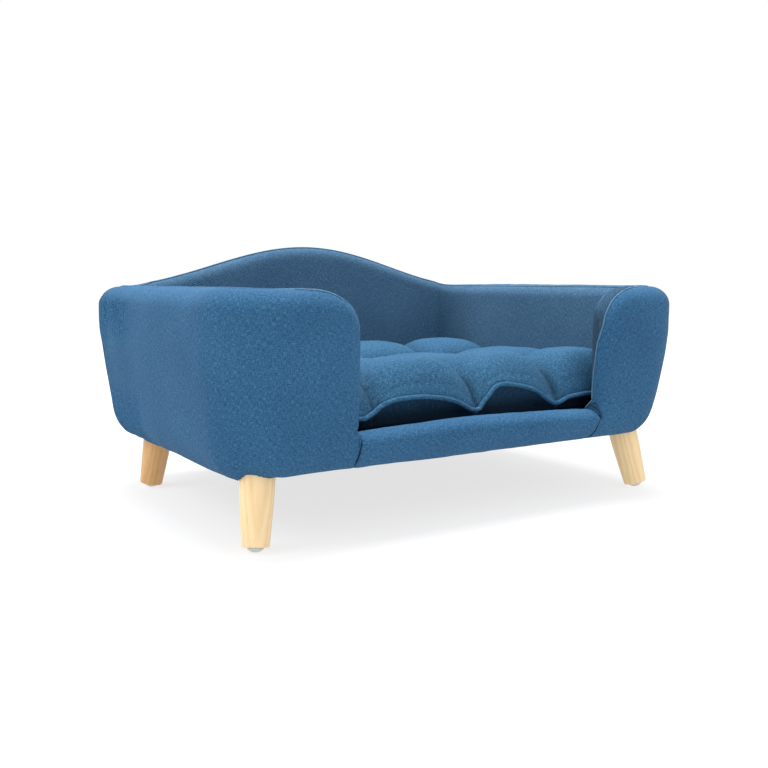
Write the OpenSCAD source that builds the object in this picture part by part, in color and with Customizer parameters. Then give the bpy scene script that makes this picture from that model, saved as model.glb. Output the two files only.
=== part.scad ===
// Upholstered sofa bed for a small dog: a padded tub on four splayed wooden legs, with a tufted
// cushion that lifts out. Origin: on the floor under the middle of the body. +X is to the
// sitter's left as seen from the front, the opening faces -Y, +Z is up. Sizes in millimetres.

/* [Body] */
// Width over the arms at their widest
body_w = 780; // [720:2:840]
// Depth from the front face to the back at their widest
body_d = 596; // [560:2:640]
// Height of the crest along the arms and the front
arm_h = 320; // [300:1:340]
// Height of the hump in the middle of the back
back_h = 390; // [370:1:410]
// Height of the fabric underside above the floor
clear_h = 84; // [80:1:88]
// Height of the padded ledge under the front opening
ledge_h = 143; // [138:1:150]
// Width of the front on each side of the opening
front_panel_w = 183; // [165:1:200]

/* [Walls] */
// Thickness of the side walls at their widest
wall_side = 62.5; // [58:0.5:68]
// Thickness of the front and back walls at their widest
wall_end = 50.5; // [49:0.5:56]
// Plan radius of the two front corners
front_r = 93; // [80:1:100]
// Plan radius of the two rear corners
rear_r = 100; // [85:1:110]
// Height at which the walls are widest
wide_h = 253; // [240:1:265]
// How far the outer face leans in from there down to the underside
flare_d = 20; // [12:1:26]
// Height of the round roll along the lower edge
roll_h = 44; // [38:1:48]
// Depth of the round roll along the lower edge
roll_d = 30; // [28:1:32]
// How much higher the underside lies along the front
front_lift = 7; // [0:1:8]
// How far the lower edge is drawn in round the corners
corner_tuck = 14; // [0:1:16]
// Width of the outer rounding of the crest
crest_out_w = 31.5; // [24:0.5:32]
// Height of the outer rounding of the crest
crest_out_h = 28; // [24:1:34]
// Width of the inner rounding of the crest
crest_in_w = 18; // [12:1:18]
// Height of the inner rounding of the crest
crest_in_h = 20; // [14:1:24]
// How far inside the sides the hump in the back starts to rise
hump_in = 20; // [10:2:50]
// Width of the rounded top corner beside the opening
open_corner_w = 60; // [45:1:70]
// Height of the rounded top corner beside the opening
open_corner_h = 50; // [40:1:60]
// Depth of the rounded wall end beside the opening
nose_d = 25; // [20:1:28]

/* [Padding and fabric] */
// Thickness of the upholstery fabric
fabric_t = 1.2; // [0.8:0.1:1.6]
// Foam between the inner fabric and the wall boards, fabric included
inner_pad = 9; // [7:0.5:12]
// Thickness of the wall boards
board_t = 6; // [4:0.5:8]
// Foam over the top edge of the wall boards
top_pad = 24; // [18:1:30]
// Width of the outer rounding of the ledge
ledge_out_w = 22; // [16:1:22]
// Width of the inner rounding of the ledge
ledge_in_w = 12; // [8:1:12]
// Height of both roundings of the ledge
ledge_round_h = 16; // [12:1:17]

/* [Base frame] */
// Height of the rails' underside above the fabric underside
rail_lift = 14; // [13.5:0.5:15]
// Height of the rails
rail_h = 20; // [19:0.5:22]
// How far the foot of the side rails stands out past their upper part
side_rail_step = 7; // [6:0.5:8]
// Width of the two side rails' upper part
side_rail_w = 60; // [54:1:70]
// Width of the front, rear and middle rails
cross_rail_w = 40; // [30:1:50]
// Thickness of the deck board
deck_t = 6; // [5:0.5:7]
// Thickness of the foam sheet on the deck
deck_pad_t = 8.5; // [6:0.5:10]
// Thickness of the lining under the base
lining_t = 1; // [0.6:0.1:1.2]

/* [Legs] */
// Distance of each front foot inside the side's widest point, on the floor
foot_front_in = 56; // [54:1:62]
// Distance of each rear foot inside the side's widest point, on the floor
foot_rear_in = 61; // [56:1:68]
// Distance of the front feet behind the front's widest point, on the floor
foot_front_back = 56; // [54:1:62]
// Distance of the rear feet ahead of the back's widest point, on the floor
foot_rear_ahead = 122; // [116:1:148]
// Sideways splay of the front legs, per unit of height
front_splay_x = 0.15; // [0.14:0.01:0.2]
// Forward splay of the front legs, per unit of height
front_splay_y = 0.23; // [0.21:0.01:0.26]
// Sideways splay of the rear legs, per unit of height
rear_splay_x = 0.15; // [0.12:0.01:0.2]
// Backward splay of the rear legs, per unit of height
rear_splay_y = 0.1; // [0.04:0.01:0.16]
// Diameter of the leg at its top
leg_top_d = 45.5; // [40:0.5:46]
// Diameter of the leg at its foot
leg_foot_d = 34.4; // [28:0.2:36]
// Diameter of the glide under the leg
glide_d = 20.4; // [16:0.2:24]
// Height of the glide's dome
glide_dome_h = 4.5; // [3.5:0.1:5.5]
// Height of the glide in all
glide_h = 6; // [5.5:0.1:7]
// Diameter of the leg bolt
bolt_d = 8; // [6:1:8]

/* [Cushion] */
// Height of the tallest puffs of the cushion above the floor
puff_h = 224; // [212:1:232]
// Puffs from side to side
puff_cols = 4; // [3:1:5]
// Puffs from front to back
puff_rows = 3; // [2:1:4]
// Depth of the creases between the puffs
crease_d = 16; // [8:1:20]
// Extra depth where two creases cross
tuft_d = 20; // [10:1:22]
// Dip along the middle of the cushion
sag_d = 12; // [0:1:14]
// Lowest height of the front piping above the cushion's underside
piping_low = 9; // [9:1:14]
// Highest height of the piping above the cushion's underside
piping_high = 44; // [36:1:48]
// Diameter of the piping
piping_d = 5; // [4:0.5:6]
// Depth by which the cushion's sides are drawn in
draw_in = 7; // [4:1:9]
// Length of the zip in the rear of the cushion
zip_len = 400; // [300:10:420]

/* [Hidden] */

round_fn = 48;
gap = 0.3;          // air between neighbouring pieces
slot_gap = 0.8;     // air beside a board in the foam
bore_gap = 0.05;    // radial air between a shaft and its bore
cut = 5;            // how far a cutting tool runs past what it cuts

half_w = body_w / 2;
half_d = body_d / 2;
inner_half_w = half_w - wall_side;
open_half = half_w - front_panel_w;
hump_half = half_w - hump_in;
foot_front_x = half_w - foot_front_in;
foot_rear_x = half_w - foot_rear_in;
foot_front_y = half_d - foot_front_back;
foot_rear_y = half_d - foot_rear_ahead;
inner_half_d = half_d - wall_end;
front_cx = half_w - front_r;
front_cy = half_d - front_r;
rear_cx = half_w - rear_r;
rear_cy = half_d - rear_r;
crest_gap = 0.5;
crest_w = min(crest_out_w, min(wall_side, wall_end) - crest_in_w - crest_gap);

foam_off = fabric_t + gap;
board_in = inner_pad;
board_out = inner_pad + board_t;
rail_out = inner_pad - gap;

rail_z = clear_h + rail_lift;
rail_top = rail_z + rail_h;
deck_top = rail_top + deck_t;
pad_top = deck_top + gap + deck_pad_t;
cover_top = pad_top + gap + fabric_t;
board_drop = 12;
board_z = rail_top - board_drop;
ledge_board_h = 15;
ledge_board_top = ledge_h - ledge_board_h;
board_edge = open_half + nose_d + slot_gap + slot_gap;

// How far the outer face lies inside its widest outline at height z
function lean(z) =
    z >= wide_h ? 0 : flare_d * pow((wide_h - z) / (wide_h - clear_h), lean_curve_share);
lean_curve_share = 1.3;

// A point of the plan on one half, walked from the front (0) round the front corner (1 to 2),
// the side (2 to 3) and the rear corner (3 to 4) to the middle of the back (5)
function half_plan(walk, hx, hy, x) =
    walk < 1 ? [x, -hy] :
    walk <= 2 ? let (a = 90 * (walk - 1))
        [front_cx + (hx - front_cx) * sin(a), -front_cy - (hy - front_cy) * cos(a)] :
    walk < 3 ? [hx, -front_cy + (rear_cy + front_cy) * (walk - 2)] :
    walk <= 4 ? let (a = 90 * (walk - 3))
        [rear_cx + (hx - rear_cx) * cos(a), rear_cy + (hy - rear_cy) * sin(a)] :
    [rear_cx * (5 - walk), hy];

// A station is [side, walk, x on the front, angle round the wall end]
function outer_at(st, inset) =
    let (p = half_plan(st[1], half_w - inset, half_d - inset, st[2])) [st[0] * p[0], p[1]];

// Underside height at a station, and how far a corner is drawn in at height z
function front_share(st) =
    st[1] <= 1 ? 1 : st[1] >= 2 ? 0 : (1 + cos(180 * (st[1] - 1))) / 2;
function low_at(st) = clear_h + front_lift * front_share(st);
function round_share(st) =
    st[1] <= 1 || st[1] >= 4 || (st[1] >= 2 && st[1] <= 3) ? 0 : pow(sin(180 * (st[1] % 2 - 1)), 2);
function tuck(st, z) =
    z >= wide_h ? 0 : corner_tuck * round_share(st) * pow((wide_h - z) / (wide_h - clear_h), 2);
function inner_at(st, depth) =
    let (p = half_plan(st[1], inner_half_w + depth, inner_half_d + depth, st[2]))
    [st[0] * p[0], p[1]];

open_corner_x = open_half + open_corner_w;
function hump(x) = abs(x) >= hump_half ? 0 : (back_h - arm_h) * (1 + cos(180 * x / hump_half)) / 2;
function open_corner_drop(x) =
    x >= open_corner_x ? 0 :
    open_corner_h * (1 - sqrt(max(0, 1 - pow((open_corner_x - x) / open_corner_w, 2))));
function crest(st) =
    st[1] < 1 ? arm_h - open_corner_drop(st[2]) :
    st[1] < 3 ? arm_h : arm_h + hump(outer_at(st, 0)[0]);

// The rounded wall end narrows the section towards the opening, above the ledge only
nose_blend_h = 10;
mid_y = -(half_d + inner_half_d) / 2;
function nose_share(st, z) =
    z <= ledge_h ? 1 :
    z >= ledge_h + nose_blend_h ? sin(st[3]) :
    1 + (sin(st[3]) - 1) * (z - ledge_h) / nose_blend_h;
function nosed(st, p, z, off) =
    st[1] >= 1 ? [p[0], p[1], z] :
    [p[0] + st[0] * off * cos(st[3]), mid_y + (p[1] - mid_y) * nose_share(st, z), z];
function on_outer(st, inset, z, off) = nosed(st, outer_at(st, inset + tuck(st, z)), z, off);
function on_inner(st, depth, z, off) = nosed(st, inner_at(st, depth), z, off);

roll_end_angle = 80;
roll_shares = [0, 0.3, 0.58, 0.82, 1];
side_shares = [0.2, 0.45, 0.72];
shoulder_angles = [90, 65, 40, 20, 0];
inner_angles = [0, 45, 90];
reversed = function (list) [for (i = [len(list) - 1 : -1 : 0]) list[i]];

// Outer surface of a layer, from the lower edge up to the crest
function roll_point(st, off, angle) =
    let (z = low_at(st) + roll_h - (roll_h - off) * sin(angle))
    on_outer(st, lean(z) + roll_d - (roll_d - off) * cos(angle), z, off);
function hem_point(st, off, z) = on_outer(st, lean(low_at(st)) + roll_d - off, z, off);
function rise(st, off) =
    let (top = crest(st), shoulder_z = top - crest_out_h, roll_z = low_at(st) + roll_h)
    concat(
        [for (t = reversed(roll_shares)) roll_point(st, off, t * roll_end_angle)],
        [for (t = reversed(side_shares)) let (z = shoulder_z + (roll_z - shoulder_z) * t)
            on_outer(st, lean(z) + off, z, off)],
        [for (a = shoulder_angles) let (z = shoulder_z + (crest_out_h - off) * cos(a))
            on_outer(st, lean(shoulder_z) * sin(a) + crest_w - (crest_w - off) * sin(a), z, off)]
    );
// Inner surface of a layer, from the crest down to height low
function fall(st, off, low) =
    let (top = crest(st))
    concat(
        [for (a = inner_angles)
            on_inner(st, crest_in_w - (crest_in_w - off) * sin(a),
                top - crest_in_h + (crest_in_h - off) * cos(a), off)],
        [on_inner(st, off, low, off)]
    );

// Stations on one half of the wall
nose_angles = [0, 25, 50, 90];
board_steps = 6;
front_ribs = concat(
    [for (a = nose_angles) [1, 0, open_half + nose_d * (1 - cos(a)), a]],
    [[1, 0, board_edge - slot_gap, 90]],
    [for (i = [1 : board_steps - 1]) [1, 0, front_board_x(i), 90]]
);
corner_steps = 6;
back_steps = 7;
front_corner_ribs = [for (i = [0 : corner_steps]) [1, 1 + i / corner_steps, 0, 90]];
side_ribs = [for (i = [0 : 2]) [1, 2 + i / 2, 0, 90]];
rear_corner_ribs = [for (i = [0 : corner_steps]) [1, 3 + i / corner_steps, 0, 90]];
back_ribs = [for (i = [0 : back_steps]) [1, 4 + i / back_steps, 0, 90]];
function without_first(list) = [for (i = [1 : len(list) - 1]) list[i]];
function mirrored(list) = [for (st = list) [-st[0], st[1], st[2], st[3]]];
half_ribs = concat(front_ribs, front_corner_ribs, without_first(side_ribs),
    without_first(rear_corner_ribs), without_first(back_ribs));
wall_ribs = concat(half_ribs, without_first(reversed(mirrored(half_ribs))));
back_wall_ribs = concat(back_ribs, without_first(reversed(mirrored(back_ribs))));

// A solid swept through stations between two chains of points of the same length;
// on the left half its facets mirror those of the right half
module between(chains_a, chains_b) {
    n = len(chains_a[0]);
    m = len(chains_a);
    points = [for (j = [0 : m - 1]) each concat(chains_a[j], chains_b[j])];
    function a(j, i) = j * 2 * n + i;
    function b(j, i) = j * 2 * n + n + i;
    function on_left(j) = chains_a[j + 1][0][0] < 0;
    faces = concat(
        [for (j = [0 : m - 2], i = [0 : n - 2]) each on_left(j) ? [
            [a(j, i), a(j + 1, i), a(j, i + 1)], [a(j + 1, i), a(j + 1, i + 1), a(j, i + 1)],
            [b(j, i), b(j, i + 1), b(j + 1, i)], [b(j + 1, i), b(j, i + 1), b(j + 1, i + 1)]] : [
            [a(j, i), a(j + 1, i), a(j + 1, i + 1)], [a(j, i), a(j + 1, i + 1), a(j, i + 1)],
            [b(j, i), b(j + 1, i + 1), b(j + 1, i)], [b(j, i), b(j, i + 1), b(j + 1, i + 1)]]],
        [for (j = [0 : m - 2]) each [
            [a(j, 0), b(j, 0), b(j + 1, 0)], [a(j, 0), b(j + 1, 0), a(j + 1, 0)],
            [a(j, n - 1), b(j + 1, n - 1), b(j, n - 1)],
            [a(j, n - 1), a(j + 1, n - 1), b(j + 1, n - 1)]]],
        [for (i = [0 : n - 2]) each [
            [a(0, i), a(0, i + 1), b(0, i + 1)], [a(0, i), b(0, i + 1), b(0, i)],
            [a(m - 1, i), b(m - 1, i + 1), a(m - 1, i + 1)],
            [a(m - 1, i), b(m - 1, i), b(m - 1, i + 1)]]]
    );
    polyhedron(points, faces);
}

module skin(ribs, chain) between(
    [for (st = ribs) chain(st, 0)], [for (st = ribs) chain(st, fabric_t)]);

fabric_colour = "steelblue";
foam_colour = "khaki";
board_colour = "burlywood";
rail_colour = "wheat";
wood_colour = "navajowhite";
metal_colour = "silver";

module outer_cover() color(fabric_colour) difference() {
    skin(wall_ribs, function (st, off)
        concat([hem_point(st, off, rail_z - gap), hem_point(st, off, low_at(st) + off)],
            rise(st, off), [on_inner(st, crest_in_w, crest(st) - off, off)]));
    for (leg = leg_list) leg_room(leg);
}

module inner_cover() color(fabric_colour) skin(wall_ribs, function (st, off)
    fall(st, off, deck_top + gap));

// Outer face of the rails below the boards: the side rails step out there
function rail_foot_at(st, air, z) =
    let (p = half_plan(st[1], inner_half_w + rail_out + side_rail_step + air,
        inner_half_d + rail_out + air, st[2])) [st[0] * p[0], p[1], z];

// Foam folded over the wall boards
slot_count = 9;
function slot_top(st) =
    st[1] < 1 && st[2] < board_edge - slot_gap ? ledge_board_top + slot_gap : crest(st) - top_pad;
function foam_outside(st) =
    concat(rise(st, foam_off), fall(st, foam_off, deck_top + gap));
function foam_inside(st) =
    let (out = board_out + slot_gap, low = board_z - gap, high = slot_top(st))
    concat(
        [hem_point(st, foam_off, low_at(st) + foam_off + foam_off),
            hem_point(st, foam_off, rail_z - gap),
            rail_foot_at(st, gap, rail_z - gap), rail_foot_at(st, gap, low)],
        [for (i = [0 : slot_count]) on_inner(st, out, low + (high - low) * i / slot_count, foam_off)],
        [for (i = [0 : slot_rest]) on_inner(st, rail_out,
            high + (deck_top + gap - high) * i / slot_rest, foam_off)]
    );
slot_rest = len(roll_shares) + len(side_shares) + len(shoulder_angles) + len(inner_angles)
    - slot_count - 5;
module wall_foam(ribs) color(foam_colour) between(
    [for (st = ribs) foam_outside(st)], [for (st = ribs) foam_inside(st)]);
module wall_foam_at_leg(ribs, leg) color(foam_colour) difference() {
    wall_foam(ribs);
    leg_room(leg);
}

foam_front_ribs = concat(without_first(front_ribs), [front_corner_ribs[0]]);
module front_right_foam() wall_foam(foam_front_ribs);
module front_left_foam() mirror([1, 0, 0]) wall_foam(foam_front_ribs);
module front_right_corner_foam() wall_foam_at_leg(front_corner_ribs, [1, -1]);
module front_left_corner_foam() mirror([1, 0, 0]) front_right_corner_foam();
module right_foam() wall_foam_at_leg(side_ribs, [1, 1]);
module left_foam() mirror([1, 0, 0]) right_foam();
module rear_right_corner_foam() wall_foam(rear_corner_ribs);
module rear_left_corner_foam() mirror([1, 0, 0]) wall_foam(rear_corner_ribs);
module back_foam() wall_foam(back_wall_ribs);

// Closed outline round the inside of the walls, moved out by depth
outline_ribs = concat(front_corner_ribs, without_first(side_ribs), without_first(rear_corner_ribs));
function inner_outline(depth) = concat(
    [for (st = outline_ribs) inner_at(st, depth)],
    [for (st = reversed(mirrored(outline_ribs))) inner_at(st, depth)]);

module wall_band(low, high) translate([0, 0, low]) linear_extrude(high - low) difference() {
    polygon(inner_outline(board_out));
    polygon(inner_outline(board_in));
}
arm_board_top = arm_h - top_pad - slot_gap;
module corner_board(cx, cy, sy) color(board_colour) intersection() {
    wall_band(board_z, arm_board_top);
    translate([cx, sy > 0 ? cy : -cy - body_d, 0]) cube([body_w, body_d, back_h]);
}
module front_right_corner_board() color(board_colour) difference() {
    corner_board(front_cx, front_cy, -1);
    leg_room([1, -1]);
}
module front_left_corner_board() mirror([1, 0, 0]) front_right_corner_board();
module rear_right_corner_board() corner_board(rear_cx, rear_cy, 1);
module rear_left_corner_board() mirror([1, 0, 0]) corner_board(rear_cx, rear_cy, 1);

module right_board() color(board_colour) difference() {
    translate([inner_half_w + board_in, -front_cy, board_z])
        cube([board_t, front_cy + rear_cy, arm_board_top - board_z]);
    board_screw_holes();
}
module left_board() mirror([1, 0, 0]) right_board();

// Flat boards whose upper edge follows the crest
module upright_board(y, outline) color(board_colour) difference() {
    translate([0, y, 0]) rotate([90, 0, 0]) linear_extrude(board_t, center = true)
        polygon(outline);
    board_screw_holes();
}
board_drop_h = top_pad + slot_gap;
function back_board_half() = [for (i = [0 : board_steps + board_steps])
    let (x = rear_cx * i / (board_steps + board_steps)) [x, arm_h + hump(x) - board_drop_h]];
module back_board() {
    half = back_board_half();
    upright_board(inner_half_d + board_in + board_t / 2, concat(
        [[-rear_cx, board_z], [rear_cx, board_z]],
        reversed(half), without_first([for (p = half) [-p[0], p[1]]])));
}
function front_board_x(i) = board_edge + (front_cx - board_edge) * i / board_steps;
function front_board_half() = [for (i = [0 : board_steps])
    let (x = front_board_x(i)) [x, arm_h - open_corner_drop(x) - board_drop_h]];
module front_board() {
    half = front_board_half();
    upright_board(-inner_half_d - board_in - board_t / 2, concat(
        [[-front_cx, board_z], [front_cx, board_z]], reversed(half),
        [[board_edge, ledge_board_top], [-board_edge, ledge_board_top]],
        [for (p = half) [-p[0], p[1]]]));
}

// Ledge under the opening, as a section across it: [distance from the middle, height]
ledge_angles = [0, 30, 60, 90];
ledge_roll_angles = [16, 32, 48, 64, 80];
ledge_round_z = ledge_h - ledge_round_h;
function ledge_outer(off, angles) = concat(
    [for (a = ledge_angles)
        [-half_d + lean(ledge_round_z) + ledge_out_w - (ledge_out_w - off) * sin(a),
            ledge_round_z + (ledge_round_h - off) * cos(a)]],
    [for (a = angles) let (z = clear_h + front_lift + roll_h - (roll_h - off) * sin(a))
        [-half_d + lean(z) + roll_d - (roll_d - off) * cos(a), z]]);
function ledge_hem(off, z) = [-half_d + lean(clear_h + front_lift) + roll_d - off, z];
function ledge_inner(off, low) = concat(
    [[-inner_half_d - off, low]],
    [for (a = reversed(ledge_angles))
        [-inner_half_d - ledge_in_w + (ledge_in_w - off) * sin(a),
            ledge_round_z + (ledge_round_h - off) * cos(a)]]);
module along_x(half_len, outline) rotate([90, 0, 90])
    linear_extrude(half_len + half_len, center = true) polygon(outline);
module ledge_cover() color(fabric_colour) along_x(open_half - gap, concat(
    ledge_inner(0, deck_top + gap), ledge_outer(0, ledge_roll_angles),
    [ledge_hem(0, clear_h + front_lift), ledge_hem(0, rail_z - gap),
        ledge_hem(fabric_t, rail_z - gap), ledge_hem(fabric_t, clear_h + front_lift + fabric_t)],
    reversed(ledge_outer(fabric_t, ledge_roll_angles)),
    reversed(ledge_inner(fabric_t, deck_top + gap))));
module ledge_foam() {
    board_face = -inner_half_d - board_out - gap;
    board_back = -inner_half_d - rail_out;
    rail_face = -inner_half_d - rail_out - gap;
    color(foam_colour) along_x(open_half - gap, concat(
        ledge_inner(foam_off, deck_top + gap),
        ledge_outer(foam_off, ledge_roll_angles),
        [ledge_hem(foam_off, clear_h + front_lift + foam_off + foam_off),
            ledge_hem(foam_off, rail_z - gap), [rail_face, rail_z - gap],
            [rail_face, board_z - gap], [board_face, board_z - gap],
            [board_face, ledge_board_top + gap], [board_back, ledge_board_top + gap],
            [board_back, deck_top + gap]]));
}

// Base frame
module base_slab(depth, low, high) translate([0, 0, low])
    linear_extrude(high - low) polygon(inner_outline(depth));

function foot_of(leg) = leg[1] > 0
    ? [leg[0] * foot_rear_x, foot_rear_y, 0] : [leg[0] * foot_front_x, -foot_front_y, 0];
function splay_of(leg) =
    leg[1] > 0 ? [rear_splay_x, rear_splay_y] : [front_splay_x, front_splay_y];
function tilt_of(leg) = atan(norm(splay_of(leg)));
function heading_of(leg) = atan2(-leg[1] * splay_of(leg)[1], -leg[0] * splay_of(leg)[0]);
// The round shapes' seam lines face sideways to the tilt
seam_turn = 45;
module along_leg(leg) translate(foot_of(leg)) rotate([0, tilt_of(leg), heading_of(leg)])
    rotate(seam_turn) children();

glide_flat = 0.3;
glide_ball_r = (pow(glide_d / 2, 2) + pow(glide_dome_h, 2)) / (2 * glide_dome_h);
function ball_z(leg) = (glide_ball_r - glide_flat) / cos(tilt_of(leg));
function leg_low(leg) = ball_z(leg) - glide_ball_r + glide_h;
function leg_high(leg) = (rail_z + sin(tilt_of(leg)) * leg_top_d / 2) / cos(tilt_of(leg));
function leg_len(leg) = leg_high(leg) - leg_low(leg);

seat_gap = 0.6;
nut_seat = 8;
nut_flange_r = 11;
nut_flange_t = 1.5;
nut_barrel_r = bolt_d / 2 + 1;
nut_barrel_h = 7;
bolt_reach = 13;
bolt_in_leg = 28;

module leg_seat(leg) along_leg(leg) translate([0, 0, leg_high(leg)]) {
    translate([0, 0, gap - rail_z]) cylinder(h = rail_z, r = leg_top_d / 2 + seat_gap, $fn = round_fn);
    cylinder(h = nut_seat + cut, r = nut_barrel_r + gap, $fn = round_fn);
    translate([0, 0, nut_seat])
        cylinder(h = rail_h, r = nut_flange_r + seat_gap, $fn = round_fn);
}

// Screws that hold the deck board down on the rails
screw_r = 2;
screw_head_r = 4;
screw_head_h = 2.5;
screw_len = 26;
screw_side_share = [-0.42, 0.06, 0.5];
screw_cross_share = [-0.5, 0.5];
side_rail_mid = inner_half_w + rail_out - side_rail_w / 2;
cross_rail_mid = inner_half_d + rail_out - cross_rail_w / 2;
screw_places = concat(
    [for (s = [-1, 1], t = screw_side_share) [s * side_rail_mid, t * rear_cy]],
    [for (s = [-1, 1], t = screw_cross_share) [t * front_cx, s * cross_rail_mid]]);
module screw_shape(air, length = screw_len) {
    translate([0, 0, -length - air]) cylinder(h = length + air, r = screw_r + air, $fn = round_fn);
    translate([0, 0, -screw_head_h - air])
        cylinder(h = screw_head_h + air, r1 = screw_r + air, r2 = screw_head_r + air, $fn = round_fn);
}
module at_screws() for (p = screw_places) translate([p[0], p[1], deck_top]) children();
module deck_screws() color(metal_colour) at_screws() screw_shape(0);

// Screws through the wall boards into the rails
board_screw_len = 20;
board_screw_z = (board_z + rail_top) / 2;
board_screw_cross_share = [-0.9, -0.3, 0.3, 0.9];
board_screw_side_share = [-0.3, 0.3];
module at_board_screws() {
    for (s = [-1, 1], t = board_screw_cross_share)
        translate([t * cross_half, s * (inner_half_d + board_out), board_screw_z])
        rotate([-s * 90, 0, 0]) children();
    for (s = [-1, 1], t = board_screw_side_share)
        translate([s * (inner_half_w + board_out), t * rear_cy, board_screw_z])
        rotate([0, s * 90, 0]) children();
}
module board_screws() color(metal_colour) at_board_screws() screw_shape(0, board_screw_len);
module board_screw_holes() at_board_screws() screw_shape(bore_gap, board_screw_len);

rail_foot_outline = concat([for (st = outline_ribs) rail_foot_flat(st)],
    [for (st = reversed(mirrored(outline_ribs))) rail_foot_flat(st)]);
function rail_foot_flat(st) = let (p = rail_foot_at(st, 0, 0)) [p[0], p[1]];
module side_rail() color(rail_colour) difference() {
    intersection() {
        union() {
            base_slab(rail_out, rail_z, rail_top);
            translate([0, 0, rail_z]) linear_extrude(board_z - gap - rail_z)
                polygon(rail_foot_outline);
        }
        translate([inner_half_w + rail_out - side_rail_w, -half_d, 0])
            cube([side_rail_w + half_w, body_d, back_h]);
    }
    for (leg = [[1, -1], [1, 1]]) leg_seat(leg);
    at_screws() screw_shape(bore_gap);
    board_screw_holes();
}
module right_side_rail() side_rail();
module left_side_rail() mirror([1, 0, 0]) side_rail();
cross_half = inner_half_w + rail_out - side_rail_w;
module cross_rail(y) color(rail_colour) difference() {
    translate([-cross_half, y - cross_rail_w / 2, rail_z])
        cube([cross_half + cross_half, cross_rail_w, rail_h]);
    at_screws() screw_shape(bore_gap);
    board_screw_holes();
}
module front_rail() cross_rail(-cross_rail_mid);
module rear_rail() cross_rail(cross_rail_mid);
module middle_rail() color(rail_colour) {
    reach = cross_rail_mid - cross_rail_w / 2;
    translate([-cross_rail_w / 2, -reach, rail_z]) cube([cross_rail_w, reach + reach, rail_h]);
}

module deck_board() color(board_colour) difference() {
    base_slab(rail_out, rail_top, deck_top);
    at_screws() screw_shape(bore_gap);
}
soft_gap = 0.8;
module deck_pad() color(foam_colour) base_slab(-soft_gap, deck_top + gap, pad_top);
module deck_cover() color(fabric_colour)
    base_slab(-soft_gap, pad_top + gap, pad_top + gap + fabric_t);
lining_gap = 1;
function lining_flat(st) = let (p = hem_point(st, -lining_gap, rail_z)) [p[0], p[1]];
leg_hole_gap = 1.2;
module leg_room(leg) along_leg(leg)
    cylinder(h = leg_high(leg) + leg_hole_gap, r = leg_top_d / 2 + leg_hole_gap, $fn = round_fn);
module base_lining() color("dimgray") difference() {
    translate([0, 0, rail_z - gap - lining_t]) linear_extrude(lining_t) polygon(concat(
        [for (st = outline_ribs) lining_flat(st)],
        [for (st = reversed(mirrored(outline_ribs))) lining_flat(st)]));
    for (leg = leg_list) leg_room(leg);
}

// Legs, their bolts and glides
leg_list = [[-1, -1], [1, -1], [-1, 1], [1, 1]];
leg_chamfer = 1.5;
leg_taper_shares = [[0.33, 0.45], [0.66, 0.83], [1, 1]];
pin_r = 1.2;
pin_len = 10;
module turned_leg(leg) color(wood_colour) along_leg(leg) difference() {
    translate([0, 0, leg_low(leg)]) rotate_extrude($fn = round_fn) polygon([
        [0, 0], [leg_foot_d / 2 - leg_chamfer, 0], [leg_foot_d / 2, leg_chamfer],
        each [for (t = leg_taper_shares)
            [(leg_foot_d + (leg_top_d - leg_foot_d) * t[1]) / 2, leg_len(leg) * t[0]]],
        [0, leg_len(leg)]]);
    translate([0, 0, leg_high(leg) - bolt_in_leg])
        cylinder(h = bolt_in_leg + cut, r = bolt_d / 2 + bore_gap, $fn = round_fn);
    translate([0, 0, leg_low(leg) - cut])
        cylinder(h = cut + pin_len + gap, r = pin_r + bore_gap, $fn = round_fn);
}
module leg_glide(leg) color("whitesmoke") difference() {
    along_leg(leg) {
        intersection() {
            translate([0, 0, ball_z(leg)]) sphere(r = glide_ball_r, $fn = round_fn);
            translate([0, 0, leg_low(leg) - glide_h - cut])
                cylinder(h = glide_h + cut, r = glide_d / 2, $fn = round_fn);
        }
        translate([0, 0, leg_low(leg) - glide_h / 2])
            cylinder(h = glide_h / 2 + pin_len, r = pin_r, $fn = round_fn);
    }
    translate([-body_w, -body_d, -cut]) cube([body_w + body_w, body_d + body_d, cut]);
}
bolt_chamfer = 0.8;
module leg_bolt(leg) color(metal_colour) along_leg(leg)
    translate([0, 0, leg_high(leg) - bolt_in_leg]) rotate_extrude($fn = round_fn) polygon([
        [0, 0], [bolt_d / 2 - bolt_chamfer, 0], [bolt_d / 2, bolt_chamfer],
        [bolt_d / 2, bolt_in_leg + bolt_reach - bolt_chamfer],
        [bolt_d / 2 - bolt_chamfer, bolt_in_leg + bolt_reach], [0, bolt_in_leg + bolt_reach]]);
module tee_nuts() color(metal_colour) for (leg = leg_list) along_leg(leg)
    translate([0, 0, leg_high(leg) + nut_seat]) rotate_extrude($fn = round_fn) polygon([
        [bolt_d / 2 + bore_gap, -nut_barrel_h], [nut_barrel_r, -nut_barrel_h], [nut_barrel_r, 0],
        [nut_flange_r, 0], [nut_flange_r, nut_flange_t], [bolt_d / 2 + bore_gap, nut_flange_t]]);

module front_left_leg() turned_leg([-1, -1]);
module front_right_leg() turned_leg([1, -1]);
module rear_left_leg() turned_leg([-1, 1]);
module rear_right_leg() turned_leg([1, 1]);
module front_left_glide() leg_glide([-1, -1]);
module front_right_glide() leg_glide([1, -1]);
module rear_left_glide() leg_glide([-1, 1]);
module rear_right_glide() leg_glide([1, 1]);
module front_left_bolt() leg_bolt([-1, -1]);
module front_right_bolt() leg_bolt([1, -1]);
module rear_left_bolt() leg_bolt([-1, 1]);
module rear_right_bolt() leg_bolt([1, 1]);

// Cushion
cushion_gap = 1.2;
cushion_z = cover_top + gap;
puff_half_w = inner_half_w - cushion_gap - piping_d - gap;
puff_half_d = inner_half_d - cushion_gap - piping_d - gap;
cushion_corner = 14;
corner_power = 12;
grid_w = 28;
grid_d = 18;
puff_share = 0.7;
edge_w = 60;
side_wave_share = 0.35;
sag_reach_share = 0.28;

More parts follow.
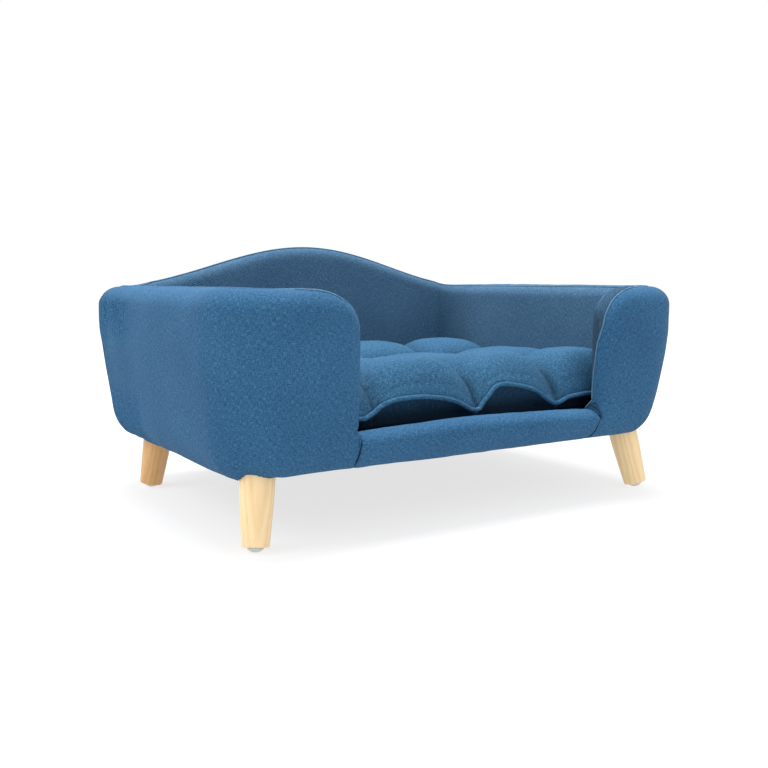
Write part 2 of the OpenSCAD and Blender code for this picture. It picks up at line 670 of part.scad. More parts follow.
// Height of the puffs' pattern along one direction: 0 on a crease, 1 on a puff
function puffed(t, count) = pow(abs(sin(180 * count * (t + 1) / 2)), puff_share);
function piping_z(u, v) =
    let (wave = v <= -1 ? puffed(u, puff_cols) :
            1 - side_wave_share * (1 - (abs(v) >= 1 ? puffed(u, puff_cols) : puffed(v, puff_rows))))
    cushion_z + piping_low + (piping_high - piping_low) * wave;
function cushion_xy(u, v, grow) = [
    u * (puff_half_w + grow - cushion_corner * pow(abs(v), corner_power)),
    v * (puff_half_d + grow - cushion_corner * pow(abs(u), corner_power))];
function cushion_top(u, v) =
    let (
        du = pow(1 - puffed(u, puff_cols), 2), dv = pow(1 - puffed(v, puff_rows), 2),
        sag = sag_d * exp(-pow(v / sag_reach_share, 2) / 2) * (1 - pow(u, 4)),
        full = puff_h - crease_d * (du + dv) - tuft_d * du * dv - sag,
        near = min(1, min((1 - abs(u)) * puff_half_w, (1 - abs(v)) * puff_half_d) / edge_w),
        rim = piping_z(abs(u) * puff_half_w > abs(v) * puff_half_w ? sign(u) : u,
            abs(v) > abs(u) ? sign(v) : v),
        lift = sqrt(1 - pow(1 - near, 2)))
    rim + (full - rim) * lift;
function grid_t(i, count) = 2 * i / count - 1;
cushion_rim = concat(
    [for (i = [0 : grid_w - 1]) [i, 0]], [for (j = [0 : grid_d - 1]) [grid_w, j]],
    [for (i = [grid_w : -1 : 1]) [i, grid_d]], [for (j = [grid_d : -1 : 1]) [0, j]]);
drawn_shares = [0.7, 0.3];
module cushion_cover() color(fabric_colour) difference() {
    cushion_form();
    core_box(gap);
}
module cushion_form() {
    top = [for (j = [0 : grid_d], i = [0 : grid_w])
        let (u = grid_t(i, grid_w), v = grid_t(j, grid_d), p = cushion_xy(u, v, 0),
            edge = i == 0 || i == grid_w || j == 0 || j == grid_d)
        [p[0], p[1], edge ? piping_z(u, v) : cushion_top(u, v)]];
    rim_n = len(cushion_rim);
    function rim_point(k, grow, share) =
        let (u = grid_t(cushion_rim[k][0], grid_w), v = grid_t(cushion_rim[k][1], grid_d),
            p = cushion_xy(u, v, grow))
        [p[0], p[1], cushion_z + (piping_z(u, v) - cushion_z) * share];
    rings = concat(
        [for (share = drawn_shares) each [for (k = [0 : rim_n - 1]) rim_point(k, -draw_in, share)]],
        [for (k = [0 : rim_n - 1]) rim_point(k, -piping_d / 2, 0)]);
    first = len(top);
    middle = first + len(rings);
    function ring(r, k) = r == 0
        ? cushion_rim[k % rim_n][1] * (grid_w + 1) + cushion_rim[k % rim_n][0]
        : first + (r - 1) * rim_n + k % rim_n;
    function at(i, j) = j * (grid_w + 1) + i;
    ring_count = len(drawn_shares) + 1;
    polyhedron(concat(top, rings, [[0, 0, cushion_z]]), concat(
        [for (j = [0 : grid_d - 1], i = [0 : grid_w - 1]) each [
            each grid_t(i, grid_w) * grid_t(j, grid_d) + grid_t(i + 1, grid_w) * grid_t(j, grid_d) > 0
                ? [[at(i, j), at(i, j + 1), at(i + 1, j)],
                    [at(i, j + 1), at(i + 1, j + 1), at(i + 1, j)]]
                : [[at(i, j), at(i, j + 1), at(i + 1, j + 1)],
                    [at(i, j), at(i + 1, j + 1), at(i + 1, j)]]]],
        [for (r = [0 : ring_count - 1], k = [0 : rim_n - 1]) each [
            [ring(r, k), ring(r, k + 1), ring(r + 1, k + 1)],
            [ring(r, k), ring(r + 1, k + 1), ring(r + 1, k)]]],
        [for (k = [0 : rim_n - 1]) [ring(ring_count, k), ring(ring_count, k + 1), middle]]));
}

// Foam slab inside the cushion
core_side = 40;
core_lift = 4;
core_t = 24;
module core_box(air) translate([
    -puff_half_w + core_side - air, -puff_half_d + core_side - air, cushion_z + core_lift - air])
    cube([2 * (puff_half_w - core_side + air), 2 * (puff_half_d - core_side + air),
        core_t + air + air]);
module cushion_core() color(foam_colour) core_box(0);

piping_sides = 6;
module cushion_piping() {
    rim_n = len(cushion_rim);
    centre = piping_d / 2 + gap;
    function rim_uv(k) = [grid_t(cushion_rim[k % rim_n][0], grid_w),
        grid_t(cushion_rim[k % rim_n][1], grid_d)];
    points = [for (k = [0 : rim_n - 1]) each [for (s = [0 : piping_sides - 1])
        let (uv = rim_uv(k), a = 360 * s / piping_sides,
            p = cushion_xy(uv[0], uv[1], centre + cos(a) * piping_d / 2))
        [p[0], p[1], piping_z(uv[0], uv[1]) + sin(a) * piping_d / 2]]];
    function at(k, s) = (k % rim_n) * piping_sides + s % piping_sides;
    color(fabric_colour) polyhedron(points, [for (k = [0 : rim_n - 1], s = [0 : piping_sides - 1])
        each [[at(k, s), at(k, s + 1), at(k + 1, s + 1)], [at(k, s), at(k + 1, s + 1), at(k + 1, s)]]]);
}

// Zip along the rear side of the cushion
zip_y = puff_half_d - draw_in + gap;
zip_t = 1;
zip_h = 6;
zip_z = cushion_z + (piping_high - (piping_high - piping_low) * side_wave_share / 2) / 2;
slider_w = 9;
slider_h = 7;
slider_t = 2.6;
bail_r = 0.8;
pull_len = 16;
pull_w = 5;
pull_t = 1.4;
module zip_tape() color("slategray")
    translate([-zip_len / 2, zip_y, zip_z - zip_h / 2]) cube([zip_len, zip_t, zip_h]);
module zip_slider() color(metal_colour)
    translate([-zip_len / 2, zip_y + zip_t + gap, zip_z - slider_h / 2])
    cube([slider_w, slider_t, slider_h]);
module zip_pull() color(metal_colour)
    translate([-zip_len / 2 + slider_w / 2, zip_y + zip_t + gap + slider_t + gap, zip_z - pull_w / 2])
    difference() {
        cube([pull_len, pull_t, pull_w]);
        translate([pull_len - pull_w / 2, -cut, pull_w / 2]) rotate([-90, 0, 0])
            cylinder(h = pull_t + cut + cut, r = bail_r, $fn = round_fn);
    }

left_side_rail();
right_side_rail();
front_rail();
rear_rail();
middle_rail();
deck_board();
deck_screws();
board_screws();
deck_pad();
deck_cover();
base_lining();
front_board();
back_board();
left_board();
right_board();
front_left_corner_board();
front_right_corner_board();
rear_left_corner_board();
rear_right_corner_board();
front_left_foam();
front_right_foam();
left_foam();
right_foam();
back_foam();
ledge_foam();
front_left_corner_foam();
front_right_corner_foam();
rear_left_corner_foam();
rear_right_corner_foam();
outer_cover();
inner_cover();
ledge_cover();
front_left_leg();
front_right_leg();
rear_left_leg();
rear_right_leg();
front_left_glide();
front_right_glide();
rear_left_glide();
rear_right_glide();
front_left_bolt();
front_right_bolt();
rear_left_bolt();
rear_right_bolt();
tee_nuts();
cushion_cover();
cushion_core();
cushion_piping();
zip_tape();
zip_slider();
zip_pull();
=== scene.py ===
# Upholstered dog sofa bed: padded tub, tufted cushion and four turned legs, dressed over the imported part.
import math
import bmesh
import bpy
from mathutils import Matrix, Vector, noise
from mathutils.bvhtree import BVHTree
from mathutils.kdtree import KDTree


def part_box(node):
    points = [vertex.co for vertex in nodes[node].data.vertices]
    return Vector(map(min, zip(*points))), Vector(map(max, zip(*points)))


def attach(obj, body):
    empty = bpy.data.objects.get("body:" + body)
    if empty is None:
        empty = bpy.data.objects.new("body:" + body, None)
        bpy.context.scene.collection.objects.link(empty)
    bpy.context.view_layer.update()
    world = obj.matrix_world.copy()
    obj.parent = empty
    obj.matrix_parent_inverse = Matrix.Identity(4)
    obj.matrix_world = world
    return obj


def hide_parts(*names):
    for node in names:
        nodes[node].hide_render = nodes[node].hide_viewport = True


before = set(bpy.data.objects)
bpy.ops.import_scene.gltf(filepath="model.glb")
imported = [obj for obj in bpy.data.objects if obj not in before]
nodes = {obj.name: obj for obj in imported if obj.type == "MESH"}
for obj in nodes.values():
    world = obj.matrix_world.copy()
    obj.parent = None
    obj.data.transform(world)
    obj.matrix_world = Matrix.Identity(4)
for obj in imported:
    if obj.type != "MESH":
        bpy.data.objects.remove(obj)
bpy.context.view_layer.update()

scene = bpy.context.scene
print("frame loaded:", len(nodes), "nodes")

# the tub's plan and section, in metres, as in the part's source
tub = {
    "halfWidth": 0.390, "halfDepth": 0.298, "wallSide": 0.0625, "wallEnd": 0.0505,
    "frontRadius": 0.093, "rearRadius": 0.100,
    "armTop": 0.320, "humpRise": 0.070, "humpHalf": 0.370,
    "underside": 0.084, "frontLift": 0.007, "widestAt": 0.253, "flare": 0.020, "flareCurve": 1.3,
    "cornerTuck": 0.014, "rollHeight": 0.044, "rollDepth": 0.030,
    "crestOutWidth": 0.0315, "crestOutHeight": 0.028, "crestInWidth": 0.018, "crestInHeight": 0.020,
    "openHalf": 0.207, "openCornerWidth": 0.060, "openCornerHeight": 0.050, "noseDepth": 0.025,
    "ledgeTop": 0.143, "ledgeEdge": 0.127, "ledgeInShare": 0.48, "noseBlend": 0.008,
    "hemTop": 0.0977, "hemGap": 0.0015, "deckTop": 0.1243, "padTop": 0.1343,
    "crown": 0.0022, "crownShare": 0.16,
}
innerHalfWidth = tub["halfWidth"] - tub["wallSide"]
innerHalfDepth = tub["halfDepth"] - tub["wallEnd"]
frontCentre = (tub["halfWidth"] - tub["frontRadius"], tub["halfDepth"] - tub["frontRadius"])
rearCentre = (tub["halfWidth"] - tub["rearRadius"], tub["halfDepth"] - tub["rearRadius"])
midY = -(tub["halfDepth"] + innerHalfDepth) / 2
openCornerX = tub["openHalf"] + tub["openCornerWidth"]


def smooth(t):
    t = min(1.0, max(0.0, t))
    return t * t * (3 - 2 * t)


def ramp(x, table):
    # straight lines through a short table of places
    if x <= table[0][0]:
        return table[0][1]
    for (x0, y0), (x1, y1) in zip(table, table[1:]):
        if x <= x1:
            return y0 + (y1 - y0) * (x - x0) / (x1 - x0)
    return table[-1][1]


def lean(z):
    if z >= tub["widestAt"]:
        return 0.0
    share = (tub["widestAt"] - z) / (tub["widestAt"] - tub["underside"])
    return tub["flare"] * share ** tub["flareCurve"]


def planPoint(station, inset, depth=None):
    # station: side, walk, x, angle. The walk goes from the front (0) round the front corner (1 to 2),
    # along the side (to 3) and round the rear corner (to 4) to the back's middle (5)
    side, walk, x, angle = station
    if depth is None:
        hx, hy = tub["halfWidth"] - inset, tub["halfDepth"] - inset
    else:
        hx, hy = innerHalfWidth + depth, innerHalfDepth + depth
    if walk < 1:
        return side * x, -hy
    if walk <= 2:
        a = math.radians(90 * (walk - 1))
        return (side * (frontCentre[0] + (hx - frontCentre[0]) * math.sin(a)),
                -frontCentre[1] - (hy - frontCentre[1]) * math.cos(a))
    if walk < 3:
        return side * hx, -frontCentre[1] + (rearCentre[1] + frontCentre[1]) * (walk - 2)
    if walk <= 4:
        a = math.radians(90 * (walk - 3))
        return (side * (rearCentre[0] + (hx - rearCentre[0]) * math.cos(a)),
                rearCentre[1] + (hy - rearCentre[1]) * math.sin(a))
    return side * rearCentre[0] * (5 - walk), hy


def undersideAt(station):
    walk = station[1]
    share = 1 if walk <= 1 else 0 if walk >= 2 else (1 + math.cos(math.pi * (walk - 1))) / 2
    return tub["underside"] + tub["frontLift"] * share


def tuckAt(station, z):
    walk = station[1]
    if z >= tub["widestAt"] or walk <= 1 or walk >= 4 or 2 <= walk <= 3:
        return 0.0
    share = (tub["widestAt"] - z) / (tub["widestAt"] - tub["underside"])
    return tub["cornerTuck"] * math.sin(math.pi * (walk % 2 - 1)) ** 2 * share ** 2


def crestAt(station):
    side, walk, x, angle = station
    if walk < 1:
        if x >= openCornerX:
            return tub["armTop"]
        share = (openCornerX - x) / tub["openCornerWidth"]
        return tub["armTop"] - tub["openCornerHeight"] * (1 - math.sqrt(max(0.0, 1 - share * share)))
    if walk < 3:
        return tub["armTop"]
    x = abs(planPoint(station, 0)[0])
    if x >= tub["humpHalf"]:
        return tub["armTop"]
    return tub["armTop"] + tub["humpRise"] * (1 + math.cos(math.pi * x / tub["humpHalf"])) / 2


def noseShare(z, onInside):
    # 0 where the wall end is square, 1 where it is a round nose; its foot follows the ledge's own rounding
    t = min(1.0, max(0.0, (z - tub["ledgeEdge"]) / (tub["ledgeTop"] - tub["ledgeEdge"])))
    bend = 1 - math.sqrt(1 - t * t)
    if not onInside:
        return bend
    share = tub["ledgeInShare"]
    return share * bend + (1 - share) * smooth((z - tub["ledgeTop"]) / tub["noseBlend"])


def rounded(station, point, z, onInside):
    x, y = point
    if station[1] < 1:
        y = midY + (y - midY) * (1 - (1 - math.sin(math.radians(station[3]))) * noseShare(z, onInside))
    return Vector((x, y, z))


def outside(station, inset, z):
    return rounded(station, planPoint(station, inset + tuckAt(station, z)), z, False)


def inside(station, depth, z):
    return rounded(station, planPoint(station, 0, depth), z, True)


def span(first, last, count):
    return [first + (last - first) * i / count for i in range(count + 1)]


noseAngles = (0, 6, 12, 18, 24, 30, 36, 42, 48, 53, 58, 61, 65, 70, 75, 80, 85, 90)
stepsAlong = {"front": 16, "frontCorner": 30, "side": 120, "rearCorner": 54, "back": 44}
rowsDown = {"hem": 2, "roll": 16, "side": 24, "shoulder": 14, "top": 4, "seam": 3, "nose": 22, "inside": 46}


def halfStations():
    # the stations of the right half, from the opening to the back's middle
    noseEnd = tub["openHalf"] + tub["noseDepth"]
    out = [(1, 0, tub["openHalf"] + tub["noseDepth"] * (1 - math.cos(math.radians(a))), a)
           for a in noseAngles]
    out += [(1, 0, x, 90) for x in span(noseEnd, frontCentre[0], stepsAlong["front"])[1:-1]]
    for walk, stretch in enumerate(("frontCorner", "side", "rearCorner", "back"), 1):
        out += [(1, w, 0, 90) for w in span(walk, walk + 1, stepsAlong[stretch])[0 if walk == 1 else 1:]]
    return out


rightHalf = halfStations()
stations = rightHalf + [(-1, w, x, a) for side, w, x, a in reversed(rightHalf[:-1])]
seamAngle = 24
seamColumn = next(i for i, s in enumerate(stations) if s[3] == seamAngle)

# the inner cover laps over the wall end. On the outer side its seam is given by the distance from the
# middle and the cloth's length from the ridge, on the nose's inner side by angle and height
lapOut = ((0.207, 0.0310), (0.2075, 0.0262), (0.2103, 0.0176), (0.2188, 0.0186), (0.2361, 0.0184),
          (0.2550, 0.0150), (0.2726, 0.0107), (0.290, 0.0060))
lapIn = ((0, 0.239), (6, 0.222), (12, 0.206), (18, 0.192), (24, 0.176))
lapEnd = 0.2905
seamDrop = 0.0008


def seamHeight(station):
    if station[1] < 1 and station[3] <= seamAngle:
        return ramp(station[3], lapIn)
    return crestAt(station) - seamDrop


def sectionLength(points):
    out = [0.0]
    for a, b in zip(points, points[1:]):
        out.append(out[-1] + (b - a).length)
    return out


def outerColumn(station):
    # hem, roll, side, shoulder and top of one station, as far as the inner edge of the crest
    low, top = undersideAt(station), crestAt(station)
    shoulder, rollTop = top - tub["crestOutHeight"], low + tub["rollHeight"]
    hem = span(tub["hemTop"], low + tub["hemGap"], rowsDown["hem"])
    points = [outside(station, lean(low) + tub["rollDepth"], z) for z in hem]
    for a in span(90, 0, rowsDown["roll"]):
        z = rollTop - tub["rollHeight"] * math.sin(math.radians(a))
        points.append(outside(station, lean(z) + tub["rollDepth"] * (1 - math.cos(math.radians(a))), z))
    for z in span(rollTop, shoulder, rowsDown["side"])[1:]:
        points.append(outside(station, lean(z), z))
    for a in span(90, 0, rowsDown["shoulder"])[1:]:
        a = math.radians(a)
        inset = lean(shoulder) * math.sin(a) + tub["crestOutWidth"] * (1 - math.sin(a))
        points.append(outside(station, inset, shoulder + tub["crestOutHeight"] * math.cos(a)))
    start, end = points[-1], inside(station, tub["crestInWidth"], top)
    crown = min(tub["crown"], (end - start).length * tub["crownShare"])
    for t in span(0, 1, rowsDown["top"])[1:]:
        p = start.lerp(end, t)
        p.z += crown * math.sin(math.pi * t)
        points.append(p)
    return points


def innerPoint(station, z):
    top = crestAt(station)
    edge = top - tub["crestInHeight"]
    if z >= edge:
        a = math.acos(min(1, (z - edge) / tub["crestInHeight"]))
        return inside(station, tub["crestInWidth"] * (1 - math.sin(a)), z)
    return inside(station, 0, z)


def innerColumn(station, high, low, rows):
    # down the inner side between two heights, spaced by its own length
    top = crestAt(station)
    edge = top - tub["crestInHeight"]

    def along(z):
        if z >= edge:
            return tub["crestInHeight"] * math.acos(min(1, (z - edge) / tub["crestInHeight"]))
        return tub["crestInHeight"] * math.pi / 2 + edge - z

    def heightAt(length):
        if length <= tub["crestInHeight"] * math.pi / 2:
            return edge + tub["crestInHeight"] * math.cos(length / tub["crestInHeight"])
        return edge - (length - tub["crestInHeight"] * math.pi / 2)

    return [innerPoint(station, heightAt(d)) for d in span(along(high), along(low), rows)]


def clothGrid(columns, acrossPlaces, downStarts):
    # a grid whose points are set column by column; its UV map is in metres along the cloth
    wide, high = len(columns) - 1, len(columns[0]) - 1
    mesh = bmesh.new()
    bmesh.ops.create_grid(mesh, x_segments=wide, y_segments=high, size=1)
    uvLayer = mesh.loops.layers.uv.new("cloth")
    lengths = [sectionLength(c) for c in columns]
    place = {}
    for v in mesh.verts:
        i, j = round((v.co.x + 1) / 2 * wide), round((v.co.y + 1) / 2 * high)
        v.co = columns[i][j]
        place[v] = (acrossPlaces[i], downStarts[i] + lengths[i][j])
    for face in mesh.faces:
        for loop in face.loops:
            loop[uvLayer].uv = place[loop.vert]
    return mesh


def meshData(mesh, name):
    data = bpy.data.meshes.new(name)
    mesh.to_mesh(data)
    mesh.free()
    return data


def placed(name, data):
    made = bpy.data.objects.new(name, data)
    scene.collection.objects.link(made)
    return made


def joined(meshes):
    whole = bmesh.new()
    for m in meshes:
        part = meshData(m, "part")
        whole.from_mesh(part)
        bpy.data.meshes.remove(part)
    bmesh.ops.remove_doubles(whole, verts=whole.verts, dist=0.00002)
    return whole


def facing(mesh, outward):
    # turns the whole sheet round if most of its faces look the wrong way
    mesh.normal_update()
    score = sum(f.normal.dot(outward(f.calc_center_median())) * f.calc_area() for f in mesh.faces)
    if score < 0:
        bmesh.ops.reverse_faces(mesh, faces=mesh.faces)
    mesh.normal_update()
    return mesh


def pieceFrom(mesh, name, body, material, thickness=None):
    data = meshData(mesh, name)
    for polygon in data.polygons:
        polygon.use_smooth = True
    piece = placed(name, data)
    data.materials.append(material)
    if thickness:
        wall = piece.modifiers.new("wall", "SOLIDIFY")
        wall.thickness, wall.offset = thickness, -1
    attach(piece, body)
    return piece


def wave(point, size, seed=0.0):
    # smooth noise, always the same at a place
    return noise.noise(Vector((point[0] / size + seed, point[1] / size - seed, point[2] / size + 2 * seed)))


# materials: shared effects are groups, the shader itself stays in each material
def newGroup(name, colours, numbers):
    # takes a place, colours and numbers, and gives a colour, a height and a roughness
    tree = bpy.data.node_groups.new(name, "ShaderNodeTree")
    tree.interface.new_socket(name="Vector", in_out="INPUT", socket_type="NodeSocketVector")
    for label in colours:
        tree.interface.new_socket(name=label, in_out="INPUT", socket_type="NodeSocketColor")
    for label, value in numbers.items():
        socket = tree.interface.new_socket(name=label, in_out="INPUT", socket_type="NodeSocketFloat")
        socket.default_value = value
    for label, kind in (("Color", "Color"), ("Height", "Float"), ("Roughness", "Float")):
        tree.interface.new_socket(name=label, in_out="OUTPUT", socket_type="NodeSocket" + kind)
    return tree, tree.nodes.new("NodeGroupInput").outputs, tree.nodes.new("NodeGroupOutput").inputs


def giveOut(tree, result, tint, height, roughness):
    for label, value in (("Color", tint), ("Height", height), ("Roughness", roughness)):
        tree.links.new(value, result[label])


def feed(tree, socket, value):
    if isinstance(value, bpy.types.NodeSocket):
        tree.links.new(value, socket)
    else:
        socket.default_value = value


def put(tree, kind, settings=None, **sockets):
    # a new node; i0, i1 and so on name a socket by its place, any other word by its label
    node = tree.nodes.new(kind)
    for key, value in (settings or {}).items():
        setattr(node, key, value)
    for key, value in sockets.items():
        socket = int(key[1:]) if key[0] == "i" and key[1:].isdigit() else key.replace("_", " ")
        feed(tree, node.inputs[socket], value)
    return node


def calculate(tree, operation, first, second=None, third=None, clamp=False):
    node = put(tree, "ShaderNodeMath", {"operation": operation, "use_clamp": clamp}, i0=first)
    for place, value in ((1, second), (2, third)):
        if value is not None:
            feed(tree, node.inputs[place], value)
    return node.outputs[0]


def times(tree, first, second, clamp=False):
    return calculate(tree, "MULTIPLY", first, second, clamp=clamp)


def timesPlus(tree, value, factor, more):
    return calculate(tree, "MULTIPLY_ADD", value, factor, more)


def mixColour(tree, share, first, second):
    return put(tree, "ShaderNodeMix", {"data_type": "RGBA"}, i0=share, i6=first, i7=second).outputs[2]


def noisePattern(tree, vector, scale, detail=2.0, roughness=0.5, stretch=None):
    if stretch:
        vector = put(tree, "ShaderNodeMapping", Vector=vector, Scale=stretch).outputs[0]
    pattern = put(tree, "ShaderNodeTexNoise", Vector=vector, Scale=scale, Detail=detail, Roughness=roughness)
    return pattern.outputs["Fac"]


def spread(tree, value, low, high, toLow=0.0, toHigh=1.0):
    node = put(tree, "ShaderNodeMapRange", Value=value, From_Min=low, From_Max=high, To_Min=toLow,
               To_Max=toHigh)
    return node.outputs[0]


def buildWeave():
    # plain weave: threads over and under, uneven yarns, a heather of paler and darker fibres, and painted
    # shade that darkens the colour where a piece asks for it
    numbers = {"Threads": 900.0, "Streaks": 0.5, "Specks": 0.3, "Dots": 0.3, "Painted Shade": 0.0}
    tree, given, result = newGroup("wovenCloth", ("Cloth", "Pale", "Deep"), numbers)
    vector = given["Vector"]
    parts = put(tree, "ShaderNodeSeparateXYZ", Vector=vector)
    threads = times(tree, given["Threads"], 2 * math.pi)
    shift = times(tree, noisePattern(tree, vector, 55.0, 1.0), 3.0)
    warp = calculate(tree, "SINE", timesPlus(tree, parts.outputs[0], threads, shift))
    weft = calculate(tree, "SINE", timesPlus(tree, parts.outputs[1], threads, shift))
    over = timesPlus(tree, times(tree, warp, weft), 0.5, 0.5)
    along = noisePattern(tree, vector, 1.0, 3.0, 0.6, (190, 1150, 1))
    across = noisePattern(tree, vector, 1.0, 3.0, 0.6, (1150, 190, 1))
    yarnTone = spread(tree, times(tree, calculate(tree, "ADD", along, across), 0.5), 0.36, 0.64)
    broadTone = spread(tree, noisePattern(tree, vector, 9.0), 0.3, 0.7, 0.44, 0.56)
    speck = spread(tree, noisePattern(tree, vector, 620.0, 2.0, 0.7), 0.56, 0.74)
    tone = timesPlus(tree, calculate(tree, "SUBTRACT", yarnTone, 0.5), given["Streaks"], broadTone)
    dark = times(tree, calculate(tree, "SUBTRACT", 0.5, tone), 2.0, clamp=True)
    light = times(tree, calculate(tree, "SUBTRACT", tone, 0.5), 2.0, clamp=True)
    tint = mixColour(tree, dark, given["Cloth"], given["Deep"])
    tint = mixColour(tree, light, tint, given["Pale"])
    tint = mixColour(tree, times(tree, speck, given["Specks"]), tint, given["Pale"])
    between = times(tree, calculate(tree, "SUBTRACT", 1.0, over), given["Dots"])
    tint = mixColour(tree, between, tint, given["Deep"])
    # painted shade: a near-black deep tone mixed in by the painted-shade share, for creases, boxing and the
    # lap
    shaded = mixColour(tree, 0.85, given["Deep"], (0, 0, 0, 1))
    giveOut(tree, result, mixColour(tree, given["Painted Shade"], tint, shaded), timesPlus(tree, yarnTone, 0.45, over),
            timesPlus(tree, yarnTone, -0.10, 0.92))
    return tree


def buildGrain():
    # wood along the third axis: rings pulled long, fine pores, a slow change of tone
    tree, given, result = newGroup("woodGrain", ("Pale", "Deep"), {"Rings": 60.0, "Contrast": 0.6})
    vector = given["Vector"]
    longWay = put(tree, "ShaderNodeMapping", Vector=vector, Scale=(1, 1, 0.09)).outputs[0]
    parts = put(tree, "ShaderNodeSeparateXYZ", Vector=longWay)
    reach = calculate(tree, "ADD", parts.outputs[0], times(tree, parts.outputs[1], 0.35))
    reach = timesPlus(tree, noisePattern(tree, longWay, 24.0), 0.035, reach)
    rings = calculate(tree, "SINE", times(tree, times(tree, reach, given["Rings"]), 2 * math.pi))
    ringTone = timesPlus(tree, rings, 0.5, 0.5)
    poreTone = spread(tree, noisePattern(tree, vector, 1.0, stretch=(900, 900, 40)), 0.55, 0.72)
    slow = noisePattern(tree, vector, 1.0, stretch=(30, 30, 7))
    tone = calculate(tree, "ADD", times(tree, ringTone, 0.5), times(tree, slow, 0.6))
    tone = times(tree, timesPlus(tree, poreTone, 0.5, tone), given["Contrast"], clamp=True)
    giveOut(tree, result, mixColour(tree, tone, given["Pale"], given["Deep"]),
            timesPlus(tree, poreTone, -0.6, ringTone), timesPlus(tree, poreTone, 0.25, 0.40))
    return tree


def buildWear():
    # fine scratches and handling marks for metal and plastic
    numbers = {"Scale": 300.0, "Base Roughness": 0.4}
    tree, given, result = newGroup("handlingMarks", ("Clean", "Worn"), numbers)
    vector = given["Vector"]
    cloud = noisePattern(tree, vector, given["Scale"], 4.0)
    mark = spread(tree, noisePattern(tree, vector, 1.0, 1.0, stretch=(2600, 190, 190)), 0.56, 0.70)
    share = calculate(tree, "MULTIPLY_ADD", mark, 0.5, times(tree, cloud, 0.5), clamp=True)
    giveOut(tree, result, mixColour(tree, share, given["Clean"], given["Worn"]),
            calculate(tree, "ADD", cloud, mark), timesPlus(tree, cloud, 0.22, given["Base Roughness"]))
    return tree


weaveGroup, grainGroup, wearGroup = buildWeave(), buildGrain(), buildWear()


def colour(red, green, blue):
    # screen values, 0 to 255, as Blender's linear ones
    def linear(c):
        c /= 255
        return c / 12.92 if c <= 0.04045 else ((c + 0.055) / 1.055) ** 2.4
    return linear(red), linear(green), linear(blue), 1.0


def startMaterial(name):
    material = bpy.data.materials.new(name)
    material.use_nodes = True
    tree = material.node_tree
    shader = tree.nodes["Principled BSDF"]
    return material, tree, shader


def effect(tree, group, place, look):
    # a shared effect with one material's own colours and numbers
    node = put(tree, "ShaderNodeGroup", {"node_tree": group}, Vector=place)
    for key, value in look.items():
        socket = node.inputs.get(key.capitalize())
        if socket is not None:
            socket.default_value = colour(*value) if socket.type == "RGBA" else value
    return node


def finishMaterial(tree, shader, group, bumpStrength, bumpDistance, **constants):
    # what varies comes from the group, and constants are set on the shader's own sockets
    tree.links.new(group.outputs["Color"], shader.inputs["Base Color"])
    tree.links.new(group.outputs["Roughness"], shader.inputs["Roughness"])
    bump = put(tree, "ShaderNodeBump", Strength=bumpStrength, Distance=bumpDistance,
               Height=group.outputs["Height"])
    tree.links.new(bump.outputs[0], shader.inputs["Normal"])
    for key, value in constants.items():
        shader.inputs[key.replace("_", " ")].default_value = value


def clothMaterial(name, look):
    material, tree, shader = startMaterial(name)
    if look.get("ownMap", True):
        place = put(tree, "ShaderNodeUVMap", {"uv_map": "cloth"}).outputs[0]
    else:
        place = put(tree, "ShaderNodeTexCoord").outputs["Object"]
    group = effect(tree, weaveGroup, place, look)
    if look.get("folds"):
        # painted shade in creases, on the boxing and on the lap, read from the piece's "fold" attribute
        fold = put(tree, "ShaderNodeAttribute", {"attribute_name": "fold"})
        tree.links.new(fold.outputs["Fac"], group.inputs["Painted Shade"])
    finishMaterial(tree, shader, group, look["bump"], look["bumpDepth"], Sheen_Weight=look["sheen"],
                   Sheen_Roughness=0.45, Specular_IOR_Level=0.08)
    return material


def woodMaterial(name, look):
    material, tree, shader = startMaterial(name)
    if look.get("attribute"):
        place = put(tree, "ShaderNodeAttribute", {"attribute_name": look["attribute"]}).outputs["Vector"]
    else:
        place = put(tree, "ShaderNodeTexCoord").outputs["Object"]
    if look.get("turn"):
        place = put(tree, "ShaderNodeMapping", Vector=place, Rotation=look["turn"]).outputs[0]
    finishMaterial(tree, shader, effect(tree, grainGroup, place, look), look["bump"], 0.0004,
                   Coat_Weight=look["coat"], Coat_Roughness=0.35)
    return material


def hardMaterial(name, look):
    material, tree, shader = startMaterial(name)
    place = put(tree, "ShaderNodeTexCoord").outputs["Object"]
    group = effect(tree, wearGroup, place, look)
    group.inputs["Base Roughness"].default_value = look["roughness"]
    finishMaterial(tree, shader, group, look["bump"], 0.0002, Metallic=look["metal"])
    return material


